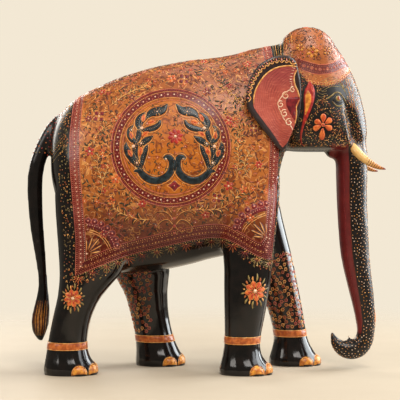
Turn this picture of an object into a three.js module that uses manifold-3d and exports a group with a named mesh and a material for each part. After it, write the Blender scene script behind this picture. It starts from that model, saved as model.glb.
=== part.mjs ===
// A carved wooden elephant statuette, glued up from shaped blocks and dowelled, as a three.js scene graph.
// Millimetres, +Z up, the elephant faces +X and its right-hand side is towards -Y.
// The skin of the whole animal is lofted first and then sawn along the glue faces, so that
// neighbouring blocks carry on each other's surface.
import * as THREE from "three";
import { mergeVertices } from "three/addons/utils/BufferGeometryUtils.js";
import Module from "manifold-3d";

const wasm = await Module();
wasm.setup();

// ---------------------------------------------------------------- driving dimensions

const GLUE_GAP = 0.3; // between any two blocks
const NECK_FACE_X = 88; // vertical glue face between torso and head
const TRUNK_FACE_Z = 224; // horizontal glue face between head and trunk
const HIND_FACE_Z = 84; // horizontal glue faces between torso and legs
const FRONT_FACE_Z = 114;
const FOOT_SPREAD = 44; // feet centres from the middle plane
const EAR_THICKNESS = 7;
const DOWEL = { radius: 5, length: 40, sides: 12, clearance: 0.3 };
const PEG = { radius: 3, length: 13, sides: 10, clearance: 0.3 };
const BIG = 1000; // a block larger than the animal, for sawing

// Torso sections, from rump to throat: x, top z, bottom z, half width.
const TORSO_SECTIONS = [
  [-164, 243, 226, 5],
  [-162.5, 258, 206, 22],
  [-157, 275, 184, 38],
  [-146, 290, 148, 53],
  [-131, 302, 120, 62],
  [-108, 313.5, 106, 67],
  [-83, 324, 105, 69],
  [-46, 334.5, 108, 69.5],
  [-11, 341, 115, 67.5],
  [14, 343.5, 122, 64.5],
  [37, 347.5, 126, 61.5],
  [58, 353.5, 130, 58],
  [73, 356.5, 140, 53.5],
  [82, 358, 174, 49.5],
  [87, 359, 214, 46.5],
  [94, 358, 240, 42],
  [100, 354, 250, 36],
  [103, 345, 256, 24],
];

// Leg sections, from sole to shoulder or haunch: z, rear x, front x, half width, centre y (right-hand side is -1).
const LEG_SECTIONS = {
  leg_hind_right: [
    [0, -166, -111.5, 25.5, 1],
    [4, -168, -110, 27, 1],
    [11, -167, -112.5, 26.3, 1],
    [22, -165, -118.7, 22.6, 1],
    [34, -163, -120.4, 20.6, 1],
    [47, -160.5, -119, 20.5, 1],
    [61, -157.6, -115.7, 21.6, 1],
    [77, -154, -108.5, 23.6, 0.98],
    [92, -151.8, -97.5, 26, 0.95],
    [108, -151.2, -84, 28.5, 0.91],
    [135, -153, -72, 31, 0.85],
    [170, -156, -72, 31, 0.78],
    [205, -157, -84, 26, 0.7],
    [235, -148, -100, 12, 0.6],
  ],
  leg_hind_left: [
    [0, -73, -18.5, 25.5, 1],
    [4, -74, -17.5, 27, 1],
    [11, -73.5, -20, 26.3, 1],
    [22, -73.5, -26, 22.6, 1],
    [34, -74.5, -30.5, 20.6, 1],
    [47, -77, -33.5, 20.5, 1],
    [61, -80.5, -35.8, 21.6, 1],
    [77, -85, -36.5, 23.6, 0.98],
    [92, -92, -36, 26, 0.95],
    [108, -101, -34, 28.5, 0.91],
    [135, -118, -38, 31, 0.85],
    [170, -138, -52, 31, 0.78],
    [205, -150, -74, 26, 0.7],
    [235, -146, -96, 12, 0.6],
  ],
  leg_front_right: [
    [0, 21.5, 75, 25, 1],
    [4, 19.8, 77, 26.5, 1],
    [10, 21, 74.5, 25.6, 1],
    [18, 23.2, 67.5, 22.4, 1],
    [29, 25, 64.7, 20.2, 1],
    [41, 25.7, 65.6, 20, 1],
    [66, 25.6, 70.6, 21.4, 1],
    [97, 25.2, 76, 22.6, 0.98],
    [122, 24.8, 78.4, 24, 0.93],
    [150, 20, 81.5, 26, 0.85],
    [186, 14, 86, 26, 0.74],
    [220, 18, 86, 22, 0.62],
    [250, 32, 76, 10, 0.55],
  ],
  leg_front_left: [
    [0, 79.5, 135, 25, 1],
    [4, 78, 136.8, 26.5, 1],
    [10, 79, 134, 25.6, 1],
    [18, 81.5, 128.3, 22.4, 1],
    [29, 83.5, 123, 20.2, 1],
    [41, 82.5, 120.6, 20, 1],
    [66, 75.5, 116.5, 21.4, 1],
    [97, 62.5, 110.4, 22.6, 0.98],
    [122, 50, 105.2, 24, 0.93],
    [150, 36, 98, 26, 0.85],
    [186, 20, 89.5, 26, 0.74],
    [220, 18, 86, 22, 0.62],
    [250, 32, 76, 10, 0.55],
  ],
};

// Head sections, from throat to crown: z, rear x, front x, half width, egg (narrowing towards the face).
const HEAD_SECTIONS = [
  [240.5, 97, 166, 24, 0.1],
  [243, 92, 176, 33, 0.16],
  [250, 84, 183, 38.5, 0.2],
  [262, 76, 184.8, 42, 0.22],
  [276, 72, 183.2, 43.5, 0.24],
  [292, 70, 180, 43, 0.26],
  [308, 71, 175.4, 41.5, 0.26],
  [326, 76, 168.2, 39.5, 0.22],
  [343, 82, 158.8, 36.5, 0.14],
  [357, 88, 149, 31.5, 0.06],
  [367, 95, 138.5, 24, 0],
  [372.5, 104, 130, 13, 0],
];

// The pair of rounded domes on the crown, given for the right-hand side.
const DOME = { x: 117, y: 16, z: 340, length: 34.5, width: 23, height: 36 };

// Lower lip behind the root of the trunk: centre x, z and half sizes.
const LIP = { x: 151, z: 241, length: 14, width: 12, height: 10 };

// Trunk centreline and half sizes, from inside the face to the fingertip: x, z, half depth, half width.
const TRUNK_SECTIONS = [
  [160, 262, 17, 20],
  [165.8, 244, 18.6, 21.5],
  [167.3, 225, 18, 20.8],
  [167.7, 186, 17, 18.6],
  [169.2, 158, 16.9, 17],
  [171.2, 127, 16.1, 15.6],
  [175.9, 98, 14.4, 14.2],
  [180.2, 74, 12.7, 12.8],
  [182.9, 53, 10.9, 11.4],
  [183, 39.5, 10, 10.7],
  [179.6, 28.5, 10.6, 10.7],
  [172.8, 22.6, 11.3, 10.8],
  [164, 21.2, 10.8, 10.5],
  [155.6, 24, 8.6, 9.4],
  [149.4, 30.4, 5.6, 7],
  [145.6, 40.5, 1.4, 2],
];
const TRUNK_LIP = { x: 164.6, z: 33.5, radius: 3.6, height: 9 }; // the short finger opposite the long one

// Tail centreline and half sizes, from inside the rump to the tip of the tuft: x, z, radius.
const TAIL_SECTIONS = [
  [-138, 279, 6],
  [-149, 277, 8.2],
  [-158.3, 269.5, 8.8],
  [-166.3, 258, 8.8],
  [-174, 242.5, 8.7],
  [-180.3, 224, 8.7],
  [-182.6, 200, 8.7],
  [-180.8, 163, 7.9],
  [-177.6, 135, 6.7],
  [-174.2, 106, 5.2],
  [-173.4, 88, 5.8],
  [-174.6, 68, 9],
  [-176.6, 52, 10.2],
  [-177.2, 40, 7.6],
  [-175, 30.5, 1.6],
];

// Ear outline, anticlockwise seen from the right-hand side, starting at the top of the front edge: x, z.
const EAR_OUTLINE = [
  [103, 334],
  [92, 340.5],
  [77, 338],
  [62, 329],
  [52.2, 313.7],
  [48, 297],
  [49.8, 282],
  [61.8, 266],
  [74.6, 250.5],
  [88.4, 236.5],
  [98.4, 257.5],
  [106.2, 274],
  [109, 291],
  [108, 312],
];
const EAR_FRONT = { x: 104, y: 45 }; // the ear's hinge line against the head
const EAR_FLARE = 0.3; // sideways lean of the ear towards its rear edge
const EAR_DISH = 3; // depth of its hollow face
const EAR_ROOT = 15; // how much thicker the ear grows towards the head

// Tusk centreline, given for the right-hand side: x, distance from the middle plane, z, radius.
const TUSK_SECTIONS = [
  [157, 4, 258, 4.4],
  [163, 13, 249, 4.8],
  [169.5, 21, 240, 5],
  [177, 25.5, 231.8, 4.5],
  [186.5, 28, 224.8, 3.5],
  [195, 29.5, 220.8, 2.1],
  [201, 30, 219.6, 0.7],
];

// Toenails of each foot: angle from straight ahead in degrees, half width, height.
const TOENAILS = [
  [-60, 7, 7.5],
  [-20, 8, 9],
  [20, 8, 9],
  [60, 7, 7.5],
];
const TOENAIL_DEPTH = 3;

// ---------------------------------------------------------------- lofts

/** A closed skin over rings of equally many points, with flat ends. */
function loft(rings) {
  const sides = rings[0].length;
  const positions = rings.flat();
  const faces = [];
  for (let r = 0; r + 1 < rings.length; r++) {
    for (let s = 0; s < sides; s++) {
      const a = r * sides + s;
      const b = r * sides + ((s + 1) % sides);
      faces.push(a, b, b + sides, a, b + sides, a + sides);
    }
  }
  const cap = (ring, first, flip) => {
    const centre = new THREE.Vector3();
    ring.forEach((p) => centre.addScaledVector(p, 1 / sides));
    positions.push(centre);
    for (let s = 0; s < sides; s++) {
      const edge = [first + s, first + ((s + 1) % sides)];
      faces.push(...(flip ? [edge[1], edge[0]] : edge), positions.length - 1);
    }
  };
  cap(rings[0], 0, true);
  cap(rings[rings.length - 1], (rings.length - 1) * sides, false);
  const geometry = new THREE.BufferGeometry().setFromPoints(positions);
  geometry.setIndex(faces);
  return geometry;
}

/** A superellipse ring about a centre, along unit vectors u and v; egg narrows it towards +u. */
function superellipse(centre, u, v, halfU, halfV, sides, { power = 2, egg = 0 } = {}) {
  const shaped = (c) => Math.sign(c) * Math.abs(c) ** (2 / power);
  return Array.from({ length: sides }, (_, i) => {
    const angle = (2 * Math.PI * i) / sides;
    const c = shaped(Math.cos(angle));
    const s = shaped(Math.sin(angle));
    return centre
      .clone()
      .addScaledVector(u, halfU * c)
      .addScaledVector(v, halfV * s * (1 - egg * c));
  });
}

/** Smooth values through the rows of a table, `count` of them, evenly spread over the rows. */
function smoothRows(table, count) {
  const columns = table[0].map((_, k) => table.map((row) => row[k]));
  return Array.from({ length: count }, (_, i) => {
    const at = (i / (count - 1)) * (table.length - 1);
    const row = Math.min(Math.floor(at), table.length - 2);
    const t = at - row;
    return columns.map((c) => {
      const before = c[Math.max(row - 1, 0)];
      const after = c[Math.min(row + 2, c.length - 1)];
      const m0 = (c[row + 1] - before) / 2;
      const m1 = (after - c[row]) / 2;
      const t2 = t * t;
      const t3 = t2 * t;
      return (
        (2 * t3 - 3 * t2 + 1) * c[row] +
        (t3 - 2 * t2 + t) * m0 +
        (3 * t2 - 2 * t3) * c[row + 1] +
        (t3 - t2) * m1
      );
    });
  });
}

const X = new THREE.Vector3(1, 0, 0);
const Y = new THREE.Vector3(0, 1, 0);
const Z = new THREE.Vector3(0, 0, 1);

/** A loft whose sections stand square to a centreline in the XZ plane: rows of x, z, half depth, half width. */
function alongPath(rows, sides, y = 0, options = {}) {
  const rings = rows.map(([x, z, depth, width], i) => {
    const [x0, z0] = rows[Math.max(i - 1, 0)];
    const [x1, z1] = rows[Math.min(i + 1, rows.length - 1)];
    const across = new THREE.Vector3(z0 - z1, 0, x1 - x0).normalize();
    return superellipse(new THREE.Vector3(x, y, z), across, Y, depth, width, sides, options);
  });
  return loft(rings);
}

// ---------------------------------------------------------------- solids

/** A manifold solid of a closed three.js geometry. */
function solid(geometry) {
  const bare = new THREE.BufferGeometry().setAttribute("position", geometry.getAttribute("position"));
  if (geometry.index) bare.setIndex(geometry.index);
  const merged = mergeVertices(bare, 1e-4);
  const made = new wasm.Manifold(
    new wasm.Mesh({
      numProp: 3,
      vertProperties: merged.attributes.position.array,
      triVerts: new Uint32Array(merged.index.array),
    }),
  );
  if (made.volume() > 0) return made;
  const turned = new Uint32Array(merged.index.array).reverse();
  return new wasm.Manifold(
    new wasm.Mesh({ numProp: 3, vertProperties: merged.attributes.position.array, triVerts: turned }),
  );
}

/** A three.js geometry of a manifold solid. */
function geometryOf(body) {
  const mesh = body.getMesh();
  const geometry = new THREE.BufferGeometry();
  geometry.setAttribute("position", new THREE.BufferAttribute(new Float32Array(mesh.vertProperties), 3));
  geometry.setIndex(new THREE.BufferAttribute(new Uint32Array(mesh.triVerts), 1));
  geometry.computeVertexNormals();
  return geometry;
}

/** A sawing block between two corners, open ends given as +-BIG. */
function block(low, high) {
  const size = high.map((v, i) => v - low[i]);
  const box = new THREE.BoxGeometry(...size);
  box.translate(...low.map((v, i) => v + size[i] / 2));
  return solid(box);
}

/** A cylinder between two points. */
function rod(from, to, radius, sides) {
  const axis = to.clone().sub(from);
  const cylinder = new THREE.CylinderGeometry(radius, radius, axis.length(), sides);
  cylinder.applyQuaternion(new THREE.Quaternion().setFromUnitVectors(Y, axis.clone().normalize()));
  cylinder.translate(...from.clone().addScaledVector(axis, 0.5).toArray());
  return solid(cylinder);
}

/** An ellipsoid with half sizes along X, Y and Z. */
function ellipsoid(centre, halves, segments = 20) {
  const ball = new THREE.SphereGeometry(1, segments, Math.round(segments * 0.6));
  ball.scale(...halves);
  ball.translate(...centre);
  return solid(ball);
}

// ---------------------------------------------------------------- the animal's skin

/** Torso with all its half sizes grown by `grow`, so that it can also cut a clearance. */
function torsoSolid(grow = 0) {
  const rings = smoothRows(TORSO_SECTIONS, 34).map(([x, top, bottom, width]) => {
    const centre = new THREE.Vector3(x, 0, (top + bottom) / 2);
    const options = { power: 2.15, egg: 0.1 };
    return superellipse(centre, Z, Y, (top - bottom) / 2 + grow, width + grow, 32, options);
  });
  rings[0].forEach((p) => (p.x -= grow));
  return solid(loft(rings));
}

function legSolid(name) {
  const side = name.endsWith("right") ? -1 : 1;
  const rings = smoothRows(LEG_SECTIONS[name], 20).map(([z, rear, front, width, spread]) => {
    const centre = new THREE.Vector3((rear + front) / 2, side * FOOT_SPREAD * spread, Math.max(z, 0));
    return superellipse(centre, X, Y, (front - rear) / 2, width, 20, { power: 2.1 });
  });
  return solid(loft(rings)).add(toenails(name, side));
}

/** Shallow rounded nails round the front of a foot. */
function toenails(name, side) {
  const [, rear, front, width] = LEG_SECTIONS[name][1];
  const centre = new THREE.Vector3((rear + front) / 2, side * FOOT_SPREAD, 0);
  const nails = TOENAILS.map(([angle, half, height]) => {
    const turn = THREE.MathUtils.degToRad(angle);
    const ball = new THREE.SphereGeometry(1, 8, 6);
    ball.scale(TOENAIL_DEPTH, half, height);
    ball.rotateZ(turn);
    const reach = 1 - (0.35 * TOENAIL_DEPTH) / width;
    const x = centre.x + Math.cos(turn) * ((front - rear) / 2) * reach;
    const y = centre.y + Math.sin(turn) * width * reach;
    ball.translate(x, y, 3);
    return solid(ball);
  });
  const above = block([-BIG, -BIG, 0], [BIG, BIG, BIG]);
  return nails.reduce((sum, nail) => sum.add(nail)).intersect(above);
}

function headSolid(grow = 0) {
  const rings = smoothRows(HEAD_SECTIONS, 20).map(([z, rear, front, width, egg]) => {
    const centre = new THREE.Vector3((rear + front) / 2, 0, z);
    return superellipse(centre, X, Y, (front - rear) / 2 + grow, width + grow, 28, { power: 2.1, egg });
  });
  const dome = (side) =>
    ellipsoid(
      [DOME.x, side * DOME.y, DOME.z],
      [DOME.length + grow, DOME.width + grow, DOME.height + grow],
      22,
    );
  const lip = ellipsoid([LIP.x, 0, LIP.z], [LIP.length, LIP.width, LIP.height], 14);
  return solid(loft(rings)).add(dome(-1)).add(dome(1)).add(lip);
}

function trunkSolid() {
  const column = solid(alongPath(smoothRows(TRUNK_SECTIONS, 34), 16, 0, { power: 2.15 }));
  const tip = new THREE.ConeGeometry(TRUNK_LIP.radius, TRUNK_LIP.height, 12);
  tip.rotateX(Math.PI / 2);
  tip.translate(TRUNK_LIP.x, 0, TRUNK_LIP.z);
  return column.add(solid(tip));
}

function tailSolid() {
  const rows = smoothRows(TAIL_SECTIONS, 24).map(([x, z, r]) => [x, z, r, r * 0.95]);
  return solid(alongPath(rows, 12));
}

/** Ear as a dished leaf: outlines shrunk towards the middle over the outer face, then back over the inner one. */
function earSolid(side) {
  const outline = new THREE.CatmullRomCurve3(
    EAR_OUTLINE.map(([x, z]) => new THREE.Vector3(x, 0, z)),
    true,
    "catmullrom",
    0.35,
  ).getPoints(36);
  outline.pop();
  const middle = new THREE.Vector3(82, 0, 292);
  const place = (share, depth, root = 0) =>
    outline.map((p) => {
      const q = middle.clone().lerp(p, share);
      const lean = EAR_FLARE * (EAR_FRONT.x - q.x) - EAR_DISH * (1 - share * share);
      const sunk = root * THREE.MathUtils.smoothstep(q.x, middle.x - 20, EAR_FRONT.x);
      return new THREE.Vector3(q.x, side * (EAR_FRONT.y + lean + depth - sunk), q.z);
    });
  const outer = [0.02, 0.4, 0.75, 0.94].map((share) => place(share, EAR_THICKNESS / 2));
  const rim = [place(1, EAR_THICKNESS / 4), place(1, -EAR_THICKNESS / 4, EAR_ROOT)];
  const inner = [0.94, 0.6, 0.02].map((share) => place(share, -EAR_THICKNESS / 2, EAR_ROOT));
  return solid(loft([...outer, ...rim, ...inner]));
}

/** Tusk with its radius grown by `grow`, so that it can also drill its socket. */
function tuskSolid(side, grow = 0) {
  const rows = smoothRows(TUSK_SECTIONS, 12);
  const rings = rows.map(([x, y, z, r], i) => {
    const [x0, y0, z0] = rows[Math.max(i - 1, 0)];
    const [x1, y1, z1] = rows[Math.min(i + 1, rows.length - 1)];
    const along = new THREE.Vector3(x1 - x0, side * (y1 - y0), z1 - z0).normalize();
    const u = new THREE.Vector3().crossVectors(along, Y).normalize();
    const v = new THREE.Vector3().crossVectors(along, u);
    const root = i === 0 ? grow : 0;
    const centre = new THREE.Vector3(x, side * y, z).addScaledVector(along, -root);
    return superellipse(centre, u, v, r + grow, r + grow, 12);
  });
  return solid(loft(rings));
}

// ---------------------------------------------------------------- glue joints

const half = GLUE_GAP / 2;
const torsoSkin = torsoSolid();
const headSkin = headSolid();
const trunkSkin = trunkSolid();
const legSkins = Object.fromEntries(Object.keys(LEG_SECTIONS).map((name) => [name, legSolid(name)]));
const legFace = (name) => (name.includes("hind") ? HIND_FACE_Z : FRONT_FACE_Z);
const headRoom = block([NECK_FACE_X - half, -BIG, TRUNK_FACE_Z - half], [BIG, BIG, BIG]);
const aheadOfNeck = block([NECK_FACE_X + half, -BIG, TRUNK_FACE_Z + half], [BIG, BIG, BIG]);

const parts = {};
parts.torso = Object.entries(legSkins)
  .map(([name, leg]) => leg.intersect(block([-BIG, -BIG, legFace(name) + half], [BIG, BIG, BIG])))
  .reduce((sum, stub) => sum.add(stub), torsoSkin.add(headSkin))
  .subtract(headRoom);
for (const [name, leg] of Object.entries(legSkins)) {
  parts[name] = leg.intersect(block([-BIG, -BIG, -BIG], [BIG, BIG, legFace(name) - half]));
}
parts.head = headSkin.add(trunkSkin).add(torsoSkin).intersect(aheadOfNeck);
parts.trunk = trunkSkin.intersect(block([-BIG, -BIG, -BIG], [BIG, BIG, TRUNK_FACE_Z - half]));
parts.tail = tailSolid().subtract(torsoSolid(GLUE_GAP));
for (const [name, side] of [["right", -1], ["left", 1]]) {
  const neck = torsoSolid(GLUE_GAP).add(headSolid(GLUE_GAP));
  parts["ear_" + name] = earSolid(side).subtract(neck);
  parts["tusk_" + name] = tuskSolid(side);
  parts.head = parts.head.subtract(tuskSolid(side, GLUE_GAP));
}

/** Drills both blocks for a dowel centred on a glue face and adds the dowel. */
function dowel(name, centre, along, size, blocks) {
  const middle = new THREE.Vector3(...centre);
  const reach = new THREE.Vector3(...along).normalize();
  const rodOf = (extra) => {
    const length = size.length / 2 + extra;
    const from = middle.clone().addScaledVector(reach, -length);
    const to = middle.clone().addScaledVector(reach, length);
    return rod(from, to, size.radius + extra, size.sides);
  };
  for (const one of blocks) parts[one] = parts[one].subtract(rodOf(size.clearance));
  parts[name] = rodOf(0);
}

dowel("neck_dowel_upper", [NECK_FACE_X, 0, 325], [1, 0, 0], DOWEL, ["torso", "head"]);
dowel("neck_dowel_lower", [NECK_FACE_X, 0, 272], [1, 0, 0], DOWEL, ["torso", "head"]);
dowel("trunk_dowel", [167.4, 0, TRUNK_FACE_Z], [0, 0, 1], DOWEL, ["head", "trunk"]);
for (const name of Object.keys(LEG_SECTIONS)) {
  const side = name.endsWith("right") ? -1 : 1;
  const z = legFace(name);
  const rows = LEG_SECTIONS[name];
  const above = rows.findIndex((row) => row[0] > z);
  const t = (z - rows[above - 1][0]) / (rows[above][0] - rows[above - 1][0]);
  const mid = (row) => (row[1] + row[2]) / 2;
  const x = THREE.MathUtils.lerp(mid(rows[above - 1]), mid(rows[above]), t);
  const centre = [x, side * FOOT_SPREAD * 0.95, z];
  dowel(name.replace("leg_", "leg_dowel_"), centre, [0, 0, 1], DOWEL, ["torso", name]);
}
dowel("tail_dowel", [-156, 0, 268], [-0.75, 0, -0.66], PEG, ["torso", "tail"]);
dowel("ear_dowel_right", [95, -39.5, 294], [0, 1, 0], PEG, ["head", "ear_right"]);
dowel("ear_dowel_left", [95, 39.5, 294], [0, 1, 0], PEG, ["head", "ear_left"]);

// ---------------------------------------------------------------- materials and scene graph

const paint = (color, roughness) => new THREE.MeshStandardMaterial({ color, roughness, metalness: 0 });
const LOOKS = {
  torso: paint(0xb5722e, 0.35),
  head: paint(0x2b2622, 0.3),
  trunk: paint(0x2b2622, 0.3),
  ear: paint(0x9c4a48, 0.35),
  leg: paint(0x24201e, 0.25),
  tail: paint(0x24211e, 0.3),
  tusk: paint(0xd9a860, 0.35),
  dowel: paint(0xc9a878, 0.8),
};

function lookOf(name) {
  if (name.includes("dowel")) return LOOKS.dowel;
  return LOOKS[name.split("_")[0]];
}

const elephant = new THREE.Group();
for (const [name, body] of Object.entries(parts)) {
  const mesh = new THREE.Mesh(geometryOf(body), lookOf(name));
  mesh.name = name;
  elephant.add(mesh);
}

// The origin is on the ground, under the middle of the animal's own box.
const box = new THREE.Box3().setFromObject(elephant);
const middle = box.getCenter(new THREE.Vector3());
elephant.position.set(-middle.x, -middle.y, -box.min.z);
elephant.updateMatrixWorld(true);

export default elephant;
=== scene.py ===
"""The looks of a carved and painted wooden elephant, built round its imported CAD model.

The CAD blocks are united into one smooth skin, which is cut again along the glue faces, so that the paint
runs over the joints as it does on the real carving. The raised paint (lines, dots, petals, leaves) is thin
geometry laid on that skin, one mesh for each colour and region. Lengths are in millimetres in the row frame
(+X towards the head, +Y the animal's left, +Z up) until a mesh is made, and angles in radians.
"""
import math
import random

import bmesh
import bpy
import numpy as np
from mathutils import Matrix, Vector
from mathutils.bvhtree import BVHTree
from mathutils.geometry import delaunay_2d_cdt


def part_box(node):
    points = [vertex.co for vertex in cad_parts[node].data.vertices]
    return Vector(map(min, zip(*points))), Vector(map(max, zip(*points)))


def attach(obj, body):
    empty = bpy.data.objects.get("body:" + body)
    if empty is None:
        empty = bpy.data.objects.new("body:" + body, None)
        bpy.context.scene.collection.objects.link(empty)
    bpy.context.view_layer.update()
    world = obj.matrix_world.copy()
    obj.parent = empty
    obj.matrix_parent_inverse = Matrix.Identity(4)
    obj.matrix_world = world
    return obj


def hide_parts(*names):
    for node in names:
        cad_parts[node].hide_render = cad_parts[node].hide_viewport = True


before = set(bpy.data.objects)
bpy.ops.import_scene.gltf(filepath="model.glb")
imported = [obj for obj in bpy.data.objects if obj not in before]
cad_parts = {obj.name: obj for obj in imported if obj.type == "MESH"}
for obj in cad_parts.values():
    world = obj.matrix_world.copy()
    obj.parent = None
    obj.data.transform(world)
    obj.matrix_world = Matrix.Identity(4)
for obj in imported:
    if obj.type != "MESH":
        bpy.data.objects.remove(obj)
bpy.context.view_layer.update()

MM = 0.001
BODY = "root"
RIGHT, LEFT = -1, 1
LEGS = ["leg_hind_right", "leg_hind_left", "leg_front_right", "leg_front_left"]
WOODEN = ["torso", "head", "trunk", "tail", *LEGS]
TUSKS = ["tusk_right", "tusk_left"]
EARS = ["ear_right", "ear_left"]


def low(node):
    """The lowest corner of a CAD node, in mm."""
    return np.array(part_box(node)[0]) / MM


def high(node):
    """The highest corner of a CAD node, in mm."""
    return np.array(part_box(node)[1]) / MM


NECK_X = low("head")[0]
TRUNK_Z = high("trunk")[2]
HIND_Z = high("leg_hind_right")[2]
FRONT_Z = high("leg_front_right")[2]
SHOULDER_X = 0.0  # between the hind and the front legs


# ---------------------------------------------------------------- meshes as arrays

def cad_arrays(node):
    """A CAD node's welded vertices in mm, and its triangles."""
    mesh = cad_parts[node].data
    corners = np.empty(len(mesh.vertices) * 3, np.float32)
    mesh.vertices.foreach_get("co", corners)
    mesh.calc_loop_triangles()
    triangles = np.empty(len(mesh.loop_triangles) * 3, np.int32)
    mesh.loop_triangles.foreach_get("vertices", triangles)
    keys = np.round(corners.reshape(-1, 3) / MM, 3)
    points, index = np.unique(keys, axis=0, return_inverse=True)
    triangles = index.reshape(-1)[triangles].reshape(-1, 3)
    distinct = (triangles[:, 0] != triangles[:, 1]) & (triangles[:, 1] != triangles[:, 2])
    return points, triangles[distinct & (triangles[:, 2] != triangles[:, 0])]


def vertex_normals(points, triangles):
    a, b, c = (points[triangles[:, k]] for k in range(3))
    face = np.cross(b - a, c - a)
    normals = np.zeros_like(points)
    for k in range(3):
        for axis in range(3):
            normals[:, axis] += np.bincount(triangles[:, k], face[:, axis], len(points))
    return normals / np.maximum(np.linalg.norm(normals, axis=1, keepdims=True), 1e-9)


def joined(nodes, swell):
    """The named CAD nodes in one pair of arrays, each swollen so that neighbours overlap."""
    points, triangles, start = [], [], 0
    for node in nodes:
        own, faces = cad_arrays(node)
        points.append(own + swell * vertex_normals(own, faces))
        triangles.append(faces + start)
        start += len(own)
    return np.concatenate(points), np.concatenate(triangles)


def mesh_of(name, points, faces):
    """A Blender mesh from points in mm."""
    mesh = bpy.data.meshes.new(name)
    mesh.from_pydata([tuple(p) for p in np.asarray(points) * MM], [], [tuple(f) for f in faces])
    return mesh


def points_of(mesh):
    flat = np.empty(len(mesh.vertices) * 3, np.float32)
    mesh.vertices.foreach_get("co", flat)
    return flat.reshape(-1, 3).astype(float) / MM


def normals_of(mesh):
    flat = np.empty(len(mesh.vertices) * 3, np.float32)
    mesh.vertices.foreach_get("normal", flat)
    return flat.reshape(-1, 3)


def store_values(mesh, name, values):
    """Keeps one value at each vertex, for a material to read."""
    layer = mesh.attributes.new(name, "FLOAT", "POINT")
    layer.data.foreach_set("value", values.astype(np.float32))


def set_points(mesh, points):
    mesh.vertices.foreach_set("co", (points * MM).astype(np.float32).ravel())
    mesh.update()


def remeshed(points, triangles, voxel):
    """One even mesh of quads round everything given, as a Blender mesh of its largest shell."""
    source = bpy.data.objects.new("remesh_source", mesh_of("remesh_source", points, triangles))
    bpy.context.scene.collection.objects.link(source)
    modifier = source.modifiers.new("even", "REMESH")
    modifier.mode = "VOXEL"
    modifier.voxel_size = voxel * MM
    modifier.adaptivity = 0
    evaluated = source.evaluated_get(bpy.context.evaluated_depsgraph_get())
    mesh = bpy.data.meshes.new_from_object(evaluated)
    bpy.data.objects.remove(source)
    keep_largest_shell(mesh)
    return mesh


def edges_of(mesh):
    ends = np.empty(len(mesh.edges) * 2, np.int32)
    mesh.edges.foreach_get("vertices", ends)
    return ends.reshape(-1, 2)


def keep_largest_shell(mesh):
    """Drops the closed hollows that bores leave inside the united blocks."""
    ends = edges_of(mesh)
    label = np.arange(len(mesh.vertices))
    while True:
        lower = np.minimum(label[ends[:, 0]], label[ends[:, 1]])
        fresh = label.copy()
        np.minimum.at(fresh, ends[:, 0], lower)
        np.minimum.at(fresh, ends[:, 1], lower)
        fresh = fresh[fresh]
        if np.array_equal(fresh, label):
            break
        label = fresh
    main = np.bincount(label).argmax()
    stray = np.flatnonzero(label != main)
    if len(stray) == 0:
        return
    bm = bmesh.new()
    bm.from_mesh(mesh)
    bm.verts.ensure_lookup_table()
    bmesh.ops.delete(bm, geom=[bm.verts[i] for i in stray], context="VERTS")
    bm.to_mesh(mesh)
    bm.free()


def blurred(mesh, values, rounds):
    """Three values at each vertex, averaged over neighbouring vertices."""
    carrier = bpy.data.objects.new("blur_carrier", mesh.copy())
    bpy.context.scene.collection.objects.link(carrier)
    set_points(carrier.data, values)
    modifier = carrier.modifiers.new("blur", "SMOOTH")
    modifier.factor = 0.5
    modifier.iterations = rounds
    evaluated = carrier.evaluated_get(bpy.context.evaluated_depsgraph_get())
    result = points_of(evaluated.data)
    copied = carrier.data
    bpy.data.objects.remove(carrier)
    bpy.data.meshes.remove(copied)
    return result


def faired(mesh, points, rounds):
    """A blur that gives back what it takes off broad shapes, so that nothing shrinks."""
    soft = blurred(mesh, points, rounds)
    return soft + blurred(mesh, points - soft, rounds)


# ---------------------------------------------------------------- the united skin

VOXEL = 1.75
SWELL = 0.5  # closes the glue gaps before remeshing, and is taken off again
FINE_ROUNDS, MEDIUM_ROUNDS, BROAD_ROUNDS = 4, 18, 90
PAINT_ROOM = 0.35  # how far the skin stays inside the CAD surface, for the raised paint


def ramp(values, start, end):
    """0 before start and 1 after end, smoothly."""
    t = np.clip((values - start) / (end - start), 0, 1)
    return t * t * (3 - 2 * t)


def broadness(p):
    """How broad the carving is at each point: 0 on tips and toenails, 1 on limbs, 2 on barrel and face."""
    x, _, z = p.T
    barrel = ramp(z, HIND_Z - 10, HIND_Z + 40) * (1 - ramp(x, 60, 80)) * ramp(x, -178, -160)
    face = ramp(z, 246, 262) * ramp(x, 40, 60) * ramp(-x, -186, -176)
    limbs = ramp(z, 12, 22)
    trunk = ramp(x, 136, 140) * ramp(-z, -262, -250)
    limbs = np.where(trunk > 0, ramp(z, 34, 52), limbs)
    return limbs + np.maximum(barrel, face) * limbs


def carve_cheek_crease(p):
    """Sinks the hollow where each cheek ends and the root of the trunk begins."""
    x, y, z = p.T
    crease = 151 + (282 - z) * 0.21
    depth = 7.5 * ramp(z, 242, 256) * (1 - ramp(z, 272, 300))
    across = ramp(x, crease - 1.5, crease + 2.5) * (1 - ramp(x, crease + 4, crease + 17))
    side = np.sign(y) * ramp(np.abs(y), 8, 18)
    return np.column_stack([x, y - side * depth * across, z])


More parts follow.
